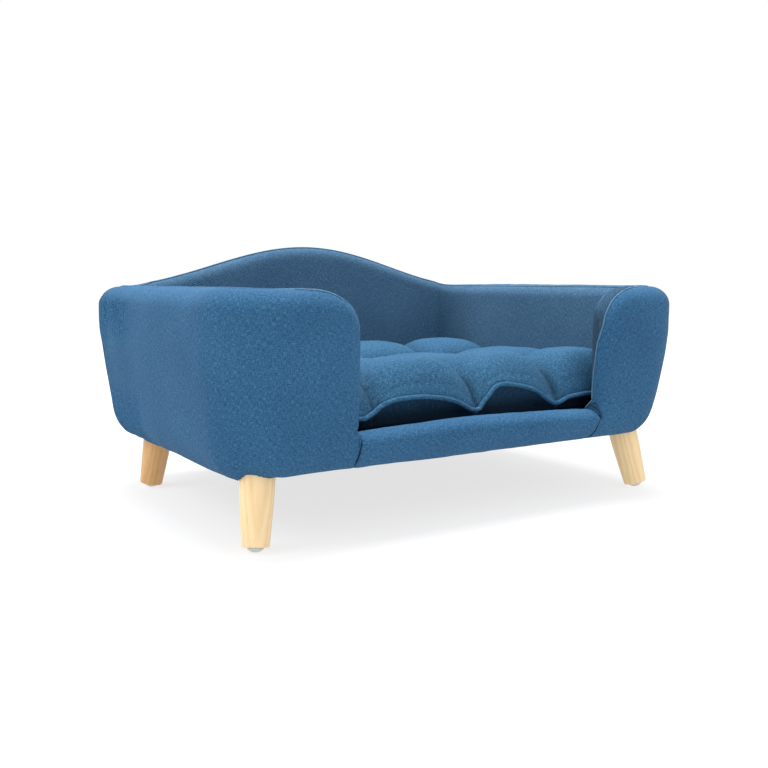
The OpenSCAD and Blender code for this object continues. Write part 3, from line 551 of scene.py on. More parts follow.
finishes = {
    "outside": {"cloth": (47, 90, 126), "pale": (80, 131, 168), "deep": (27, 59, 90), "threads": 640.0,
                "streaks": 0.85, "specks": 0.38, "dots": 0.25, "bump": 0.30, "bumpDepth": 0.0006,
                "sheen": 0.02},
    # the inside and cushion cloths take painted shade from their pieces' "fold" attribute
    "inside": {"cloth": (78, 120, 153), "pale": (134, 174, 203), "deep": (38, 66, 95), "threads": 330.0,
               "streaks": 0.75, "specks": 0.55, "dots": 0.85, "bump": 0.9, "bumpDepth": 0.0009,
               "sheen": 0.02, "folds": True},
    "cushion": {"cloth": (51, 95, 129), "pale": (86, 138, 171), "deep": (28, 62, 92), "threads": 560.0,
                "streaks": 0.95, "specks": 0.40, "dots": 0.38, "bump": 0.5, "bumpDepth": 0.0007,
                "sheen": 0.02, "folds": True},
    # the seam bead's paler cloth is a painted highlight along the crest
    "seam": {"cloth": (84, 126, 158), "pale": (130, 168, 194), "deep": (50, 86, 118), "threads": 900.0,
             "streaks": 0.5, "specks": 0.4, "dots": 0.3, "bump": 0.4, "bumpDepth": 0.0004,
             "sheen": 0.05, "ownMap": False},
    "thread": {"cloth": (24, 44, 66), "pale": (44, 72, 100), "deep": (14, 26, 42), "threads": 1500.0,
               "streaks": 0.5, "specks": 0.2, "dots": 0.4, "bump": 0.4, "bumpDepth": 0.0003,
               "sheen": 0.02, "ownMap": False},
    "lining": {"cloth": (30, 31, 33), "pale": (58, 60, 62), "deep": (14, 15, 16), "threads": 700.0,
               "streaks": 0.8, "specks": 0.3, "dots": 0.5, "bump": 0.5, "bumpDepth": 0.0006,
               "sheen": 0.05},
    "tape": {"cloth": (44, 72, 100), "pale": (76, 108, 136), "deep": (26, 46, 68), "threads": 1100.0,
             "streaks": 0.4, "specks": 0.2, "dots": 0.6, "bump": 0.6, "bumpDepth": 0.0003,
             "sheen": 0.02, "ownMap": False},
}
legFinish = {"pale": (248, 222, 172), "deep": (216, 174, 120), "rings": 120.0, "contrast": 0.55,
             "bump": 0.12, "coat": 0.25, "attribute": "woodPlace"}
# painted shade: the rear legs get a darker copy of the leg finish
shadedRearLegFinish = dict(legFinish, pale=(216, 170, 110), deep=(180, 128, 72))
railFinish = {"pale": (226, 196, 150), "deep": (178, 132, 84), "rings": 90.0, "contrast": 0.7,
              "bump": 0.4, "coat": 0.0, "turn": (math.pi / 2, 0, 0)}
crossFinish = dict(railFinish, turn=(0, math.pi / 2, 0))
plywoodFinish = {"pale": (214, 180, 132), "deep": (166, 122, 78), "rings": 34.0, "contrast": 0.65,
                 "bump": 0.35, "coat": 0.0, "turn": (0, math.pi / 2, 0)}
zincFinish = {"clean": (196, 198, 196), "worn": (140, 142, 140), "scale": 420.0, "roughness": 0.28,
              "bump": 0.25, "metal": 1.0}
glideFinish = {"clean": (206, 206, 202), "worn": (168, 168, 164), "scale": 260.0, "roughness": 0.38,
               "bump": 0.15, "metal": 0.0}

outsideCloth = clothMaterial("outsideCloth", finishes["outside"])
insideCloth = clothMaterial("insideCloth", finishes["inside"])
cushionCloth = clothMaterial("cushionCloth", finishes["cushion"])
seamHighlightCloth = clothMaterial("seamHighlightCloth", finishes["seam"])
darkThread = clothMaterial("darkThread", finishes["thread"])
liningCloth = clothMaterial("liningCloth", finishes["lining"])
tapeCloth = clothMaterial("tapeCloth", finishes["tape"])
turnedWood = woodMaterial("turnedWood", legFinish)
shadedRearWood = woodMaterial("shadedRearWood", shadedRearLegFinish)
railWood = woodMaterial("railWood", railFinish)
crossWood = woodMaterial("crossWood", crossFinish)
plywood = woodMaterial("plywood", plywoodFinish)
zinc = hardMaterial("zinc", zincFinish)
glidePlastic = hardMaterial("glidePlastic", glideFinish)
print("materials made")

# legs and their bolts
leg = {
    "frontFoot": (0.334, -0.242), "rearFoot": (0.329, 0.176),
    "frontSplay": (0.15, 0.23), "rearSplay": (0.15, 0.10),
    "topRadius": 0.02275, "footRadius": 0.0172, "topEdge": 0.0008,
    "belly": ((0, 0), (0.17, 0.235), (0.33, 0.45), (0.50, 0.655), (0.66, 0.83), (0.83, 0.94), (1, 1)),
    "footRound": ((0.0016, 0), (0.0005, 0.0004), (0, 0.0015)), "rows": 26, "steps": 72,
    "railFloor": 0.098, "glideRadius": 0.0102, "glideDome": 0.0045, "glideHeight": 0.006, "glideFlat": 0.0003,
    "boltRadius": 0.004, "boltInLeg": 0.028, "boltReach": 0.013, "boltRoom": 0.0001,
    "pinHole": 0.00125, "pinDepth": 0.0103, "roomAround": 0.0015, "grainShift": (0.031, 0.023, 0.05),
}
bolt = {"pitch": 0.00125, "threadDepth": 0.0006, "chamfer": 0.0006, "threadStart": 0.0008,
        "threadSunk": 0.00015, "flank": 0.86, "crestHigh": 0.52, "crestLow": 0.36, "runOut": 0.003,
        "threadSteps": 28, "coreSteps": 32}


def legFacts(sx, sy):
    # where a leg stands, and its lowest and highest points along its own axis
    end = "rear" if sy > 0 else "front"
    foot, splay = leg[end + "Foot"], leg[end + "Splay"]
    tilt = math.atan(math.hypot(*splay))
    heading = math.atan2(-sy * splay[1], -sx * splay[0])
    place = (Matrix.Translation((sx * foot[0], foot[1], 0)) @ Matrix.Rotation(heading, 4, "Z")
             @ Matrix.Rotation(tilt, 4, "Y"))
    ball = (leg["glideRadius"] ** 2 + leg["glideDome"] ** 2) / (2 * leg["glideDome"])
    low = (ball - leg["glideFlat"]) / math.cos(tilt) - ball + leg["glideHeight"]
    high = (leg["railFloor"] + math.sin(tilt) * leg["topRadius"]) / math.cos(tilt)
    return place, low, high


def spun(profile, steps):
    mesh = bmesh.new()
    verts = [mesh.verts.new((r, 0, z)) for r, z in profile]
    edges = [mesh.edges.new(pair) for pair in zip(verts, verts[1:])]
    bmesh.ops.spin(mesh, geom=verts + edges, cent=(0, 0, 0), axis=(0, 0, 1), dvec=(0, 0, 0),
                   angle=2 * math.pi, steps=steps, use_merge=True, use_duplicate=False)
    bmesh.ops.remove_doubles(mesh, verts=mesh.verts, dist=0.000002)
    bmesh.ops.recalc_face_normals(mesh, faces=mesh.faces)
    return mesh


def sharpAt(data, degrees):
    for edge in data.edges:
        edge.use_edge_sharp = False
    mesh = bmesh.new()
    mesh.from_mesh(data)
    for edge in mesh.edges:
        if len(edge.link_faces) == 2 and edge.calc_face_angle(0) > math.radians(degrees):
            edge.smooth = False
    mesh.to_mesh(data)
    mesh.free()


def cornerName(sx, sy):
    return ("rear" if sy > 0 else "front") + ("_right" if sx > 0 else "_left")


def turnedLeg(name, sx, sy):
    place, low, high = legFacts(sx, sy)
    length, topRadius, footRadius = high - low, leg["topRadius"], leg["footRadius"]
    boltRadius, boltFoot = leg["boltRadius"] + leg["boltRoom"], length - leg["boltInLeg"]
    profile = [(0, leg["pinDepth"]), (leg["pinHole"], leg["pinDepth"]), (leg["pinHole"], 0)]
    profile += [(footRadius - inset, z) for inset, z in leg["footRound"]]
    for t in span(0.03, 0.985, leg["rows"]):
        profile.append((footRadius + (topRadius - footRadius) * ramp(t, leg["belly"]), length * t))
    profile += [(topRadius, length - leg["topEdge"]), (topRadius - leg["topEdge"], length),
                (boltRadius, length), (boltRadius, boltFoot), (0, boltFoot)]
    mesh = spun([(r, z + low) for r, z in profile], leg["steps"])
    # the grain follows the leg's own axis, from another place in the wood for each leg
    grain = mesh.verts.layers.float_vector.new("woodPlace")
    dx, dy, dz = leg["grainShift"]
    for v in mesh.verts:
        v[grain] = v.co + Vector((dx * sx, dy * sy, dz * sx * sy))
    bmesh.ops.transform(mesh, matrix=place, verts=mesh.verts)
    # the rear legs take the darker wood, as painted shade
    wood = turnedWood if sy < 0 else shadedRearWood
    piece = pieceFrom(mesh, name, cornerName(sx, sy) + "_foot", wood)
    sharpAt(piece.data, 40)
    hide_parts(cornerName(sx, sy) + "_leg")


def legBolt(name, sx, sy):
    # a plain core with a raised thread wound round it
    place, low, high = legFacts(sx, sy)
    start, length = high - leg["boltInLeg"], leg["boltInLeg"] + leg["boltReach"]
    crest, chamfer, pitch = leg["boltRadius"], bolt["chamfer"], bolt["pitch"]
    root = crest - bolt["threadDepth"]
    core = spun([(0, start), (root - chamfer, start), (root, start + chamfer),
                 (root, start + length - chamfer), (root - chamfer, start + length), (0, start + length)],
                bolt["coreSteps"])
    turns, steps = int((length - bolt["runOut"]) / pitch), bolt["threadSteps"]
    inner = root - bolt["threadSunk"]
    section = ((inner, 0), (inner, bolt["flank"]), (crest, bolt["crestHigh"]), (crest, bolt["crestLow"]))
    thread = bmesh.new()
    face = thread.faces.new([thread.verts.new((r, 0, start + bolt["threadStart"] + pitch * share))
                             for r, share in section])
    bmesh.ops.spin(thread, geom=[face], cent=(0, 0, 0), axis=(0, 0, 1), dvec=(0, 0, pitch / steps),
                   angle=2 * math.pi * turns, steps=steps * turns, use_merge=False, use_duplicate=False)
    bmesh.ops.recalc_face_normals(thread, faces=thread.faces)
    whole = joined([core, thread])
    bmesh.ops.transform(whole, matrix=place, verts=whole.verts)
    piece = pieceFrom(whole, name, cornerName(sx, sy) + "_thread", zinc)
    sharpAt(piece.data, 30)
    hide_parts(cornerName(sx, sy) + "_bolt")


corners = [(sx, sy) for sy in (-1, 1) for sx in (-1, 1)]
for sx, sy in corners:
    title = ("rear" if sy > 0 else "front") + ("Right" if sx > 0 else "Left")
    turnedLeg(title + "Leg", sx, sy)
    legBolt(title + "Bolt", sx, sy)
print("legs and bolts made")


def clearOfLegs(mesh):
    # opens a round hole in a cloth where each leg passes, and draws its edge to an even ring
    radius = leg["topRadius"] + leg["roomAround"]
    for sx, sy in corners:
        place, low, high = legFacts(sx, sy)
        back = place.inverted()
        footY = leg["rearFoot" if sy > 0 else "frontFoot"][1]

        def inTheWay(v):
            if abs(v.co.x - sx * 0.32) >= 0.08 or abs(v.co.y - footY) >= 0.08 or v.co.z >= 0.14:
                return False
            p = back @ v.co
            return math.hypot(p.x, p.y) < radius and p.z < high + 0.004

        covered = {v for v in mesh.verts if inTheWay(v)}
        gone = [f for f in mesh.faces if all(v in covered for v in f.verts)]
        if not gone:
            continue
        rim = {v for f in gone for v in f.verts}
        bmesh.ops.delete(mesh, geom=gone, context="FACES")
        for v in rim:
            if v.is_valid and v.link_faces:
                p = back @ v.co
                r = math.hypot(p.x, p.y)
                p.x, p.y = p.x * radius / r, p.y * radius / r
                v.co = place @ p
        loose = [v for v in mesh.verts if not v.link_faces]
        bmesh.ops.delete(mesh, geom=loose, context="VERTS")


# the tub's covers
cover = {"fabric": 0.0012, "softness": 0.0009, "fineSoftness": 0.00035, "rollWave": 0.0010, "rollTop": 0.13,
         "seamPinch": 0.0006, "seamReach": 0.0045, "endPinch": 0.0022, "endReach": 0.012,
         "deckMargin": 0.0003, "leastStep": 0.0004, "noseMiddle": 0.160,
         "lapRows": 12, "lapStep": 0.002, "lapLift": 0.0005, "lapShade": 0.42, "lapPleats": 0.15}
deckEdge = tub["deckTop"] + cover["deckMargin"]
measuredRow = 24   # the row low on the side, along which the cloth's width is measured

columnsOuter = [outerColumn(s) for s in stations]
acrossPlaces = [0.0]
for a, b in zip(columnsOuter, columnsOuter[1:]):
    step = max(cover["leastStep"], (b[measuredRow] - a[measuredRow]).length)
    acrossPlaces.append(acrossPlaces[-1] + step)
middle = acrossPlaces[len(rightHalf) - 1]
acrossPlaces = [p - middle for p in acrossPlaces]
crestPlaces = [sectionLength(c)[-1] for c in columnsOuter]

noseRange = range(0, seamColumn + 1)
tubRange = range(seamColumn, len(stations) - seamColumn)
farNoseRange = range(len(stations) - 1 - seamColumn, len(stations))
tubStations = [stations[i] for i in tubRange]


def downNose(i):
    s = stations[i]
    upper = innerColumn(s, crestAt(s), cover["noseMiddle"], rowsDown["nose"])
    return upper + innerColumn(s, cover["noseMiddle"], deckEdge, rowsDown["nose"])[1:]


def insideGrid(columns, places):
    # a sheet whose map goes on from the crest of the outer cover
    return clothGrid(columns, [acrossPlaces[i] for i in places], [crestPlaces[i] for i in places])


outerGrid = clothGrid(columnsOuter, acrossPlaces, [0.0] * len(stations))
seamGrid = insideGrid([innerColumn(s, crestAt(s), crestAt(s) - seamDrop, rowsDown["seam"])
                       for s in tubStations], tubRange)
noseGrids = [insideGrid([downNose(i) for i in side], side) for side in (noseRange, farNoseRange)]
innerGrid = insideGrid([innerColumn(s, crestAt(s) - seamDrop, deckEdge, rowsDown["inside"])
                        for s in tubStations], tubRange)


def partOf(points, start):
    # the last stretch of a column, from a given cloth length before its end
    lengths = sectionLength(points)
    begin = max(0.0, lengths[-1] - start)
    out = []
    for goal in span(begin, lengths[-1], cover["lapRows"]):
        k = max(i for i, length in enumerate(lengths) if length <= goal + 1e-9)
        if k >= len(points) - 1:
            out.append(points[-1])
        else:
            out.append(points[k].lerp(points[k + 1], (goal - lengths[k]) / (lengths[k + 1] - lengths[k])))
    return out


def lapColumns(mirrored):
    # from the inner side round the tip to the outer side, then along the ridge as far as the lap goes
    order = sorted((s for s in stations if s[1] < 1 and s[0] == (-1 if mirrored else 1)), key=lambda s: s[2])
    onNose = [s for s in order if s[3] <= seamAngle]
    columns = [innerColumn(s, seamHeight(s), crestAt(s), cover["lapRows"]) for s in reversed(onNose)]
    return columns + [partOf(outerColumn(s), ramp(s[2], lapOut)) for s in order[1:] if s[2] <= lapEnd]


laps = [lapColumns(False), lapColumns(True)]
lapGrids = [clothGrid(columns, [i * cover["lapStep"] for i in range(len(columns))], [0.0] * len(columns))
            for columns in laps]

# the seam between both covers: up the wall end's inner side, over its tip, along the ridge and round the tub
seamFoot, seamTop = 0.128, ramp(seamAngle, lapIn) - 0.003
lowSeams = [[innerPoint(stations[i], z) for z in span(seamFoot, seamTop, 12)]
            for i in (seamColumn, -1 - seamColumn)]
ridge = [innerPoint(s, crestAt(s) - seamDrop) for s in stations if s[1] >= 1 or s[2] > lapEnd]
seamPath = lowSeams[0] + [c[0] for c in laps[0]] + ridge
seamPath += [c[0] for c in reversed(laps[1])] + lowSeams[1][::-1]

seamTree = KDTree(len(seamPath) * 4)
for i, (a, b) in enumerate(zip(seamPath, seamPath[1:] + seamPath[-1:])):
    for k in range(4):
        seamTree.insert(a.lerp(b, k / 4), i * 4 + k)
seamTree.balance()


def awayFromMiddle(p):
    # rough outward direction of the tub's walls
    edge = Vector((p.x / tub["halfWidth"], p.y / tub["halfDepth"], 0))
    return edge.normalized() if edge.length else Vector((0, 0, 1))


def outerLook(p):
    # outward in the wall's outer half; its inner half has no say in which way the sheet faces
    half = 0.02
    beyond = max(abs(p.x) - innerHalfWidth - half, abs(p.y) - innerHalfDepth - half)
    return awayFromMiddle(p) * (1 if beyond > 0 else 0)


pleat = {"depth": 0.0019, "pitch": 0.0019, "crestFade": (0.296, 0.012), "highFade": (0.225, 0.05),
         "lowFade": (0.13, 0.06), "sideFade": (0.30, 0.05), "backFade": (0.02, 0.10),
         "overall": 0.30, "low": 0.8, "inward": 1.4, "shift": 0.004,
         "frontDepth": 0.5, "frontRays": 95,
         "frontX": (0.29, 0.03), "frontY": (0.19, 0.03), "frontZ": (0.10, 0.05)}


def fade(value, limits):
    # from 0 at a place to 1 over a length: limits gives both
    return smooth((value - limits[0]) / limits[1])


def puckersAt(p):
    # upright pleats where the cloth is drawn round the rear corners, strongest below the crest and low down
    side = fade(abs(p.x), pleat["sideFade"]) * fade(p.y, pleat["backFade"]) if p.y < rearCentre[1] else 1.0
    if side == 0 or (p.y >= rearCentre[1] and abs(p.x) < rearCentre[0]):
        return frontPuckers(p)
    along = p.y
    if p.y > rearCentre[1]:
        turn = math.atan2(p.y - rearCentre[1], abs(p.x) - rearCentre[0])
        along = rearCentre[1] + tub["rearRadius"] * turn
    along += pleat["shift"] * math.copysign(1, p.x)
    below = 1 - fade(p.z, pleat["crestFade"])
    high = fade(p.z, pleat["highFade"]) * below
    low = 1 - fade(p.z, pleat["lowFade"])
    uneven = 0.55 + 0.9 * wave((p.x, p.y, p.z * 0.3), 0.03, 7.7)
    strength = (pleat["overall"] * below + high + pleat["low"] * low) * uneven
    row = math.sin(along / pleat["pitch"] + 2.4 * wave((p.x, p.y, p.z * 0.35), 0.05, 4.1))
    return pleat["depth"] * side * strength * (row if row > 0 else row * pleat["inward"])


def frontPuckers(p):
    # short folds that run out from under the front corners
    if p.y > 0:
        return 0.0
    corner = fade(abs(p.x), pleat["frontX"]) * fade(-p.y, pleat["frontY"]) * (1 - fade(p.z, pleat["frontZ"]))
    row = math.sin(math.atan2(p.y, p.x) * pleat["frontRays"] + 2 * wave(p, 0.03, 1.3))
    return pleat["depth"] * pleat["frontDepth"] * corner * row


def softened(mesh, pinchEnds, pleatShare=1.0):
    # uneven cloth, pleats, a wavy lower roll, and a pinch along each seam
    mesh.normal_update()
    moves = {}
    for v in mesh.verts:
        p = v.co
        d = cover["softness"] * wave(p, 0.085, 0.3) + cover["fineSoftness"] * wave(p, 0.022, 5.2)
        d += puckersAt(p) * pleatShare
        if p.z < cover["rollTop"] and v.normal.z < 0.2:
            d += cover["rollWave"] * wave(p, 0.04, 9.1) * smooth((cover["rollTop"] - p.z) / 0.03)
        near = seamTree.find(p)[2]
        if near < cover["seamReach"]:
            share = 1 - near / cover["seamReach"]
            d = d * (1 - share) - cover["seamPinch"] * share * share
        if pinchEnds and p.z < tub["ledgeTop"] + 0.004 and abs(p.x) < tub["openHalf"] + cover["endReach"]:
            share = 1 - max(0.0, abs(p.x) - tub["openHalf"]) / cover["endReach"]
            d -= cover["endPinch"] * share * share * smooth((p.z - 0.094) / 0.01)
        if p.z < 0.0985 and abs(v.normal.z) < 0.5 and max(abs(p.x) / 0.34, abs(p.y) / 0.25) < 1.02:
            d *= 0.1   # the hem lies against the frame
        moves[v] = v.normal * d
    for v, d in moves.items():
        v.co += d


rearSeam = {"y": 0.212, "low": 0.09, "high": 0.314, "width": 0.009, "depth": 0.0016}


def rearSeamGroove(mesh):
    # the upright seam near the left rear corner of the outside
    mesh.normal_update()
    for v in mesh.verts:
        p = v.co
        if p.x < -0.3 and p.y > 0.15 and v.normal.z < 0.7:
            d = abs(p.y - rearSeam["y"])
            if d < rearSeam["width"] and rearSeam["low"] < p.z < rearSeam["high"]:
                v.co -= v.normal * rearSeam["depth"] * (1 - d / rearSeam["width"]) ** 2


def wallEnd(station):
    # closes the foot of the wall end, between its outer and inner side, above the ledge's end
    rows, across, columns = 18, 10, []
    for z in span(tub["deckTop"], tub["ledgeTop"] + tub["noseBlend"], rows):
        start, end = outside(station, lean(z), z), inside(station, 0, z)
        columns.append([start.lerp(end, t) for t in span(0, 1, across)])
    return facing(clothGrid(columns, span(0, 0.03, rows), [0.0] * (rows + 1)), lambda p: Vector((-p.x, 0, 0)))


tubMesh = facing(joined([outerGrid, seamGrid] + noseGrids), outerLook)
outerMesh = joined([tubMesh, wallEnd(stations[0]), wallEnd(stations[-1])])
softened(outerMesh, True)
rearSeamGroove(outerMesh)
clearOfLegs(outerMesh)
outerCover = pieceFrom(outerMesh, "outerCover", "sofa_body", outsideCloth, cover["fabric"])
foams = [n for n in nodes if n.endswith("_foam") and n != "ledge_foam"]
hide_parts("outer_cover", *foams)

innerMesh = facing(innerGrid, lambda p: -awayFromMiddle(p))
softened(innerMesh, False, cover["lapPleats"])
lapMesh = joined([facing(grid, lambda p: Vector((-p.x * 3, -0.4, 0.6))) for grid in lapGrids])
softened(lapMesh, False, cover["lapPleats"])
lapMesh.normal_update()
for v in lapMesh.verts:
    v.co += v.normal * cover["lapLift"]
innerMesh = joined([innerMesh, lapMesh])
innerCover = pieceFrom(innerMesh, "innerCover", "sofa_body", insideCloth, cover["fabric"])
# painted shade: the inner cover darkens towards the front, over the wall ends' lap, by the "fold" attribute
innerShade = innerCover.data.attributes.new("fold", "FLOAT", "POINT")
for i, v in enumerate(innerCover.data.vertices):
    innerShade.data[i].value = cover["lapShade"] * smooth((-0.20 - v.co.y) / 0.02)
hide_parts("inner_cover")
print("tub covers made")


def bead(name, path, radius, sides, material, body="sofa_body", closed=False):
    # a round strip laid along a path: one ring of points pushed along it
    count = len(path)
    wide = count if closed else count - 1
    mesh = bmesh.new()
    bmesh.ops.create_grid(mesh, x_segments=wide, y_segments=sides, size=1)
    frames = []
    for i, p in enumerate(path):
        before = path[i - 1] if closed or i else p
        after = path[(i + 1) % count] if closed or i < count - 1 else p
        along = (after - before).normalized()
        flat = Vector((along.y, -along.x, 0))
        flat = flat.normalized() if flat.length > 0.05 else Vector((0, 1, 0))
        frames.append((p, flat, along.cross(flat).normalized()))
    radii = radius if callable(radius) else (lambda i: radius)
    for v in mesh.verts:
        i, j = round((v.co.x + 1) / 2 * wide), round((v.co.y + 1) / 2 * sides)
        p, a, b = frames[i % count]
        angle = 2 * math.pi * j / sides
        v.co = p + (a * math.cos(angle) + b * math.sin(angle)) * radii(i % count)
    bmesh.ops.remove_doubles(mesh, verts=mesh.verts, dist=0.00001)
    if not closed:
        bmesh.ops.holes_fill(mesh, edges=[e for e in mesh.edges if e.is_boundary], sides=0)
    bmesh.ops.recalc_face_normals(mesh, faces=mesh.faces)
    return pieceFrom(mesh, name, body, material)


seams = {"crest": 0.00115, "crestLift": 0.0002, "sewn": 0.00055}
# the bead's paler cloth paints the rim highlight along the seam
bead("crestSeam", [p + Vector((0, 0, seams["crestLift"])) for p in seamPath], seams["crest"], 8, seamHighlightCloth)

leftSide = [s for s in stations if s[0] < 0 and 2 < s[1] < 4]
rearStation = min(leftSide, key=lambda s: abs(planPoint(s, 0)[1] - rearSeam["y"]))
rearSeamPath = [p + Vector((0.0009, 0, 0)) for p in outerColumn(rearStation)
                if 0.088 < p.z < rearSeam["high"] and p.x < -0.345]
bead("rearCornerSeam", rearSeamPath, seams["sewn"], 6, darkThread)

# ledge under the opening
ledge = {"half": 0.2067, "outWidth": 0.022, "inWidth": 0.012, "roundHeight": 0.016, "flatRise": 0.0006,
         "crown": 0.0020, "fall": 0.0056, "crownAt": -0.015, "crownReach": 0.195,
         "endPinch": 0.0016, "endReach": 0.011, "foldReach": 0.045, "foldDepth": 0.0009,
         "softness": 0.0009, "fineSoftness": 0.0004, "columns": 116, "seamAt": 0.20695}


def ledgeSection():
    # from the deck's edge up, over the ledge, down its front and round to the hem
    edge, front = tub["ledgeTop"] - ledge["roundHeight"], -tub["halfDepth"]
    points = [(-innerHalfDepth, z) for z in span(deckEdge, edge, 2)]
    for a in span(90, 0, 8)[1:]:
        a = math.radians(a)
        points.append((-innerHalfDepth - ledge["inWidth"] * (1 - math.sin(a)),
                       tub["ledgeTop"] - ledge["roundHeight"] * (1 - math.cos(a))))
    start, end = points[-1], (front + lean(edge) + ledge["outWidth"], tub["ledgeTop"])
    for t in span(0, 1, 3)[1:]:
        points.append((start[0] + (end[0] - start[0]) * t,
                       tub["ledgeTop"] + ledge["flatRise"] * math.sin(math.pi * t)))
    for a in span(0, 90, 12)[1:]:
        a = math.radians(a)
        points.append((front + lean(edge) + ledge["outWidth"] * (1 - math.sin(a)),
                       edge + ledge["roundHeight"] * math.cos(a)))
    low = tub["underside"] + tub["frontLift"]
    for a in span(0, 90, 16):
        a = math.radians(a)
        z = low + tub["rollHeight"] * (1 - math.sin(a))
        if z < edge - 0.001:
            points.append((front + lean(z) + tub["rollDepth"] * (1 - math.cos(a)), z))
    return points + [(front + lean(low) + tub["rollDepth"], z) for z in span(low, tub["hemTop"], 2)[1:]]


def ledgeLook(p):
    if p.y < -0.285:
        return Vector((0, -1, 0))
    return Vector((0, 0, 1 if p.z > 0.13 else 0))


section = ledgeSection()
ledgeAcross = span(-ledge["half"], ledge["half"], ledge["columns"])
ledgeColumns = []
for x in ledgeAcross:
    away = abs(x - ledge["crownAt"]) / ledge["crownReach"]
    rise = ledge["crown"] - ledge["fall"] * min(1.15, away) ** 1.3
    ledgeColumns.append([Vector((x, y, z + rise * smooth((z - 0.112) / 0.03))) for y, z in section])
ledgeMesh = facing(clothGrid(ledgeColumns, ledgeAcross, [0.3] * len(ledgeAcross)), ledgeLook)
for v in ledgeMesh.verts:
    p = v.co
    d = ledge["softness"] * wave(p, 0.06, 2.2) + ledge["fineSoftness"] * wave(p, 0.02, 3.1)
    near = ledge["half"] - abs(p.x)
    if near < ledge["endReach"]:
        share = 1 - near / ledge["endReach"]
        d -= ledge["endPinch"] * share * share
    if near < ledge["foldReach"] and p.z > 0.128:
        d -= ledge["foldDepth"] * (1 - near / ledge["foldReach"]) * abs(math.sin(p.y * 520 + p.x * 60))
    v.co += v.normal * d
ledgeCover = pieceFrom(ledgeMesh, "ledgeCover", "sofa_body", outsideCloth, cover["fabric"])
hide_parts("ledge_cover", "ledge_foam")
for side in (-1, 1):
    path = [Vector((side * ledge["seamAt"], y + 0.0014, z)) for y, z in section if 0.094 < z and y < -0.262]
    bead("ledgeSeam" + ("Right" if side > 0 else "Left"), path, seams["sewn"], 6, darkThread)
print("ledge made")

# deck cover and underside lining
deck = {"margin": 0.0008, "rings": 26, "edgeDrop": 0.0035, "edgePower": 14, "half": (0.3267, 0.2467),
        "lift": 0.0004, "softness": 0.0009, "foot": 0.0003}
lining = {"height": 0.0971, "sag": 0.0035, "inset": 0.0015, "cloth": 0.0007, "rings": 56, "softness": 0.0006,
          "half": (0.345, 0.245), "bay": 0.29, "bayHalf": 0.22}


def outlineFrom(pointAt):
    # one point for each station from the front corner on, and the same mirrored
    half = [pointAt(s) for s in rightHalf if s[1] >= 1]
    return half + [(-x, y) for x, y in reversed(half[:-1])]


def ringShares(count, power):
    # from the middle to the edge, closer together towards the edge
    return [1 - (1 - t) ** power for t in span(0, 1, count)]


def plateMesh(outline, rings):
    # rings: share of the outline's size, and height as a number or by place; the first one is the middle
    columns = []
    for x, y in outline + outline[:1]:
        places = [(x * share, y * share, z) for share, z in rings]
        columns.append([Vector((px, py, z(px, py) if callable(z) else z)) for px, py, z in places])
    mesh = clothGrid(columns, [0.0] * len(columns), [0.0] * len(columns))
    uvLayer = mesh.loops.layers.uv["cloth"]
    for face in mesh.faces:
        for loop in face.loops:
            loop[uvLayer].uv = (loop.vert.co.x, loop.vert.co.y)
    bmesh.ops.remove_doubles(mesh, verts=mesh.verts, dist=0.00003)
    return mesh


def deckHeight(x, y):
    # cloth over soft foam, drawn down round its edge
    edge = max(abs(x) / deck["half"][0], abs(y) / deck["half"][1])
    soft = deck["softness"] * abs(wave((x, y, 0), 0.07, 1.7))
    return tub["padTop"] - deck["lift"] - soft - deck["edgeDrop"] * edge ** deck["edgePower"]


deckRings = [(share, deckHeight) for share in ringShares(deck["rings"], 1.5)]
deckRings += [(0.9995, tub["padTop"] - 0.007), (0.9995, tub["deckTop"] + deck["lift"]),
              (0.97, tub["deckTop"] + deck["foot"]), (0.0, tub["deckTop"] + deck["foot"])]
deckMesh = plateMesh(outlineFrom(lambda s: planPoint(s, 0, -deck["margin"])), deckRings)
bmesh.ops.recalc_face_normals(deckMesh, faces=deckMesh.faces)
deckPiece = pieceFrom(deckMesh, "deckCover", "sofa_body", insideCloth)
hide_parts("deck_cover", "deck_pad")


def hemPoint(s):
    inset = lean(undersideAt(s)) + tub["rollDepth"] + lining["inset"]
    p = outside(s, inset, tub["hemTop"] - 0.0001)
    return p.x, p.y


def liningHeight(x, y):
    # the cloth hangs a little between the rails
    bay = min(1, abs(math.sin(math.pi * x / lining["bay"]))) * max(0, 1 - (abs(y) / lining["bayHalf"]) ** 2)
    edge = max(abs(x) / lining["half"][0], abs(y) / lining["half"][1])
    sag = lining["sag"] * bay * (1 - smooth((edge - 0.8) / 0.2))
    soft = lining["softness"] * abs(wave((x, y, 0), 0.03, 6.0)) * (1 - smooth((edge - 0.9) / 0.1))
    return lining["height"] - sag - soft


liningRings = [(share, liningHeight) for share in ringShares(lining["rings"], 1.2)]
liningMesh = plateMesh(outlineFrom(hemPoint), liningRings)
facing(liningMesh, lambda p: Vector((0, 0, -1)))
clearOfLegs(liningMesh)
liningArea = sum(f.calc_area() for f in liningMesh.faces)
liningPiece = pieceFrom(liningMesh, "baseLining", "sofa_body", liningCloth, lining["cloth"])
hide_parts("base_lining")
print("deck cover and lining made, lining area", round(liningArea, 4))

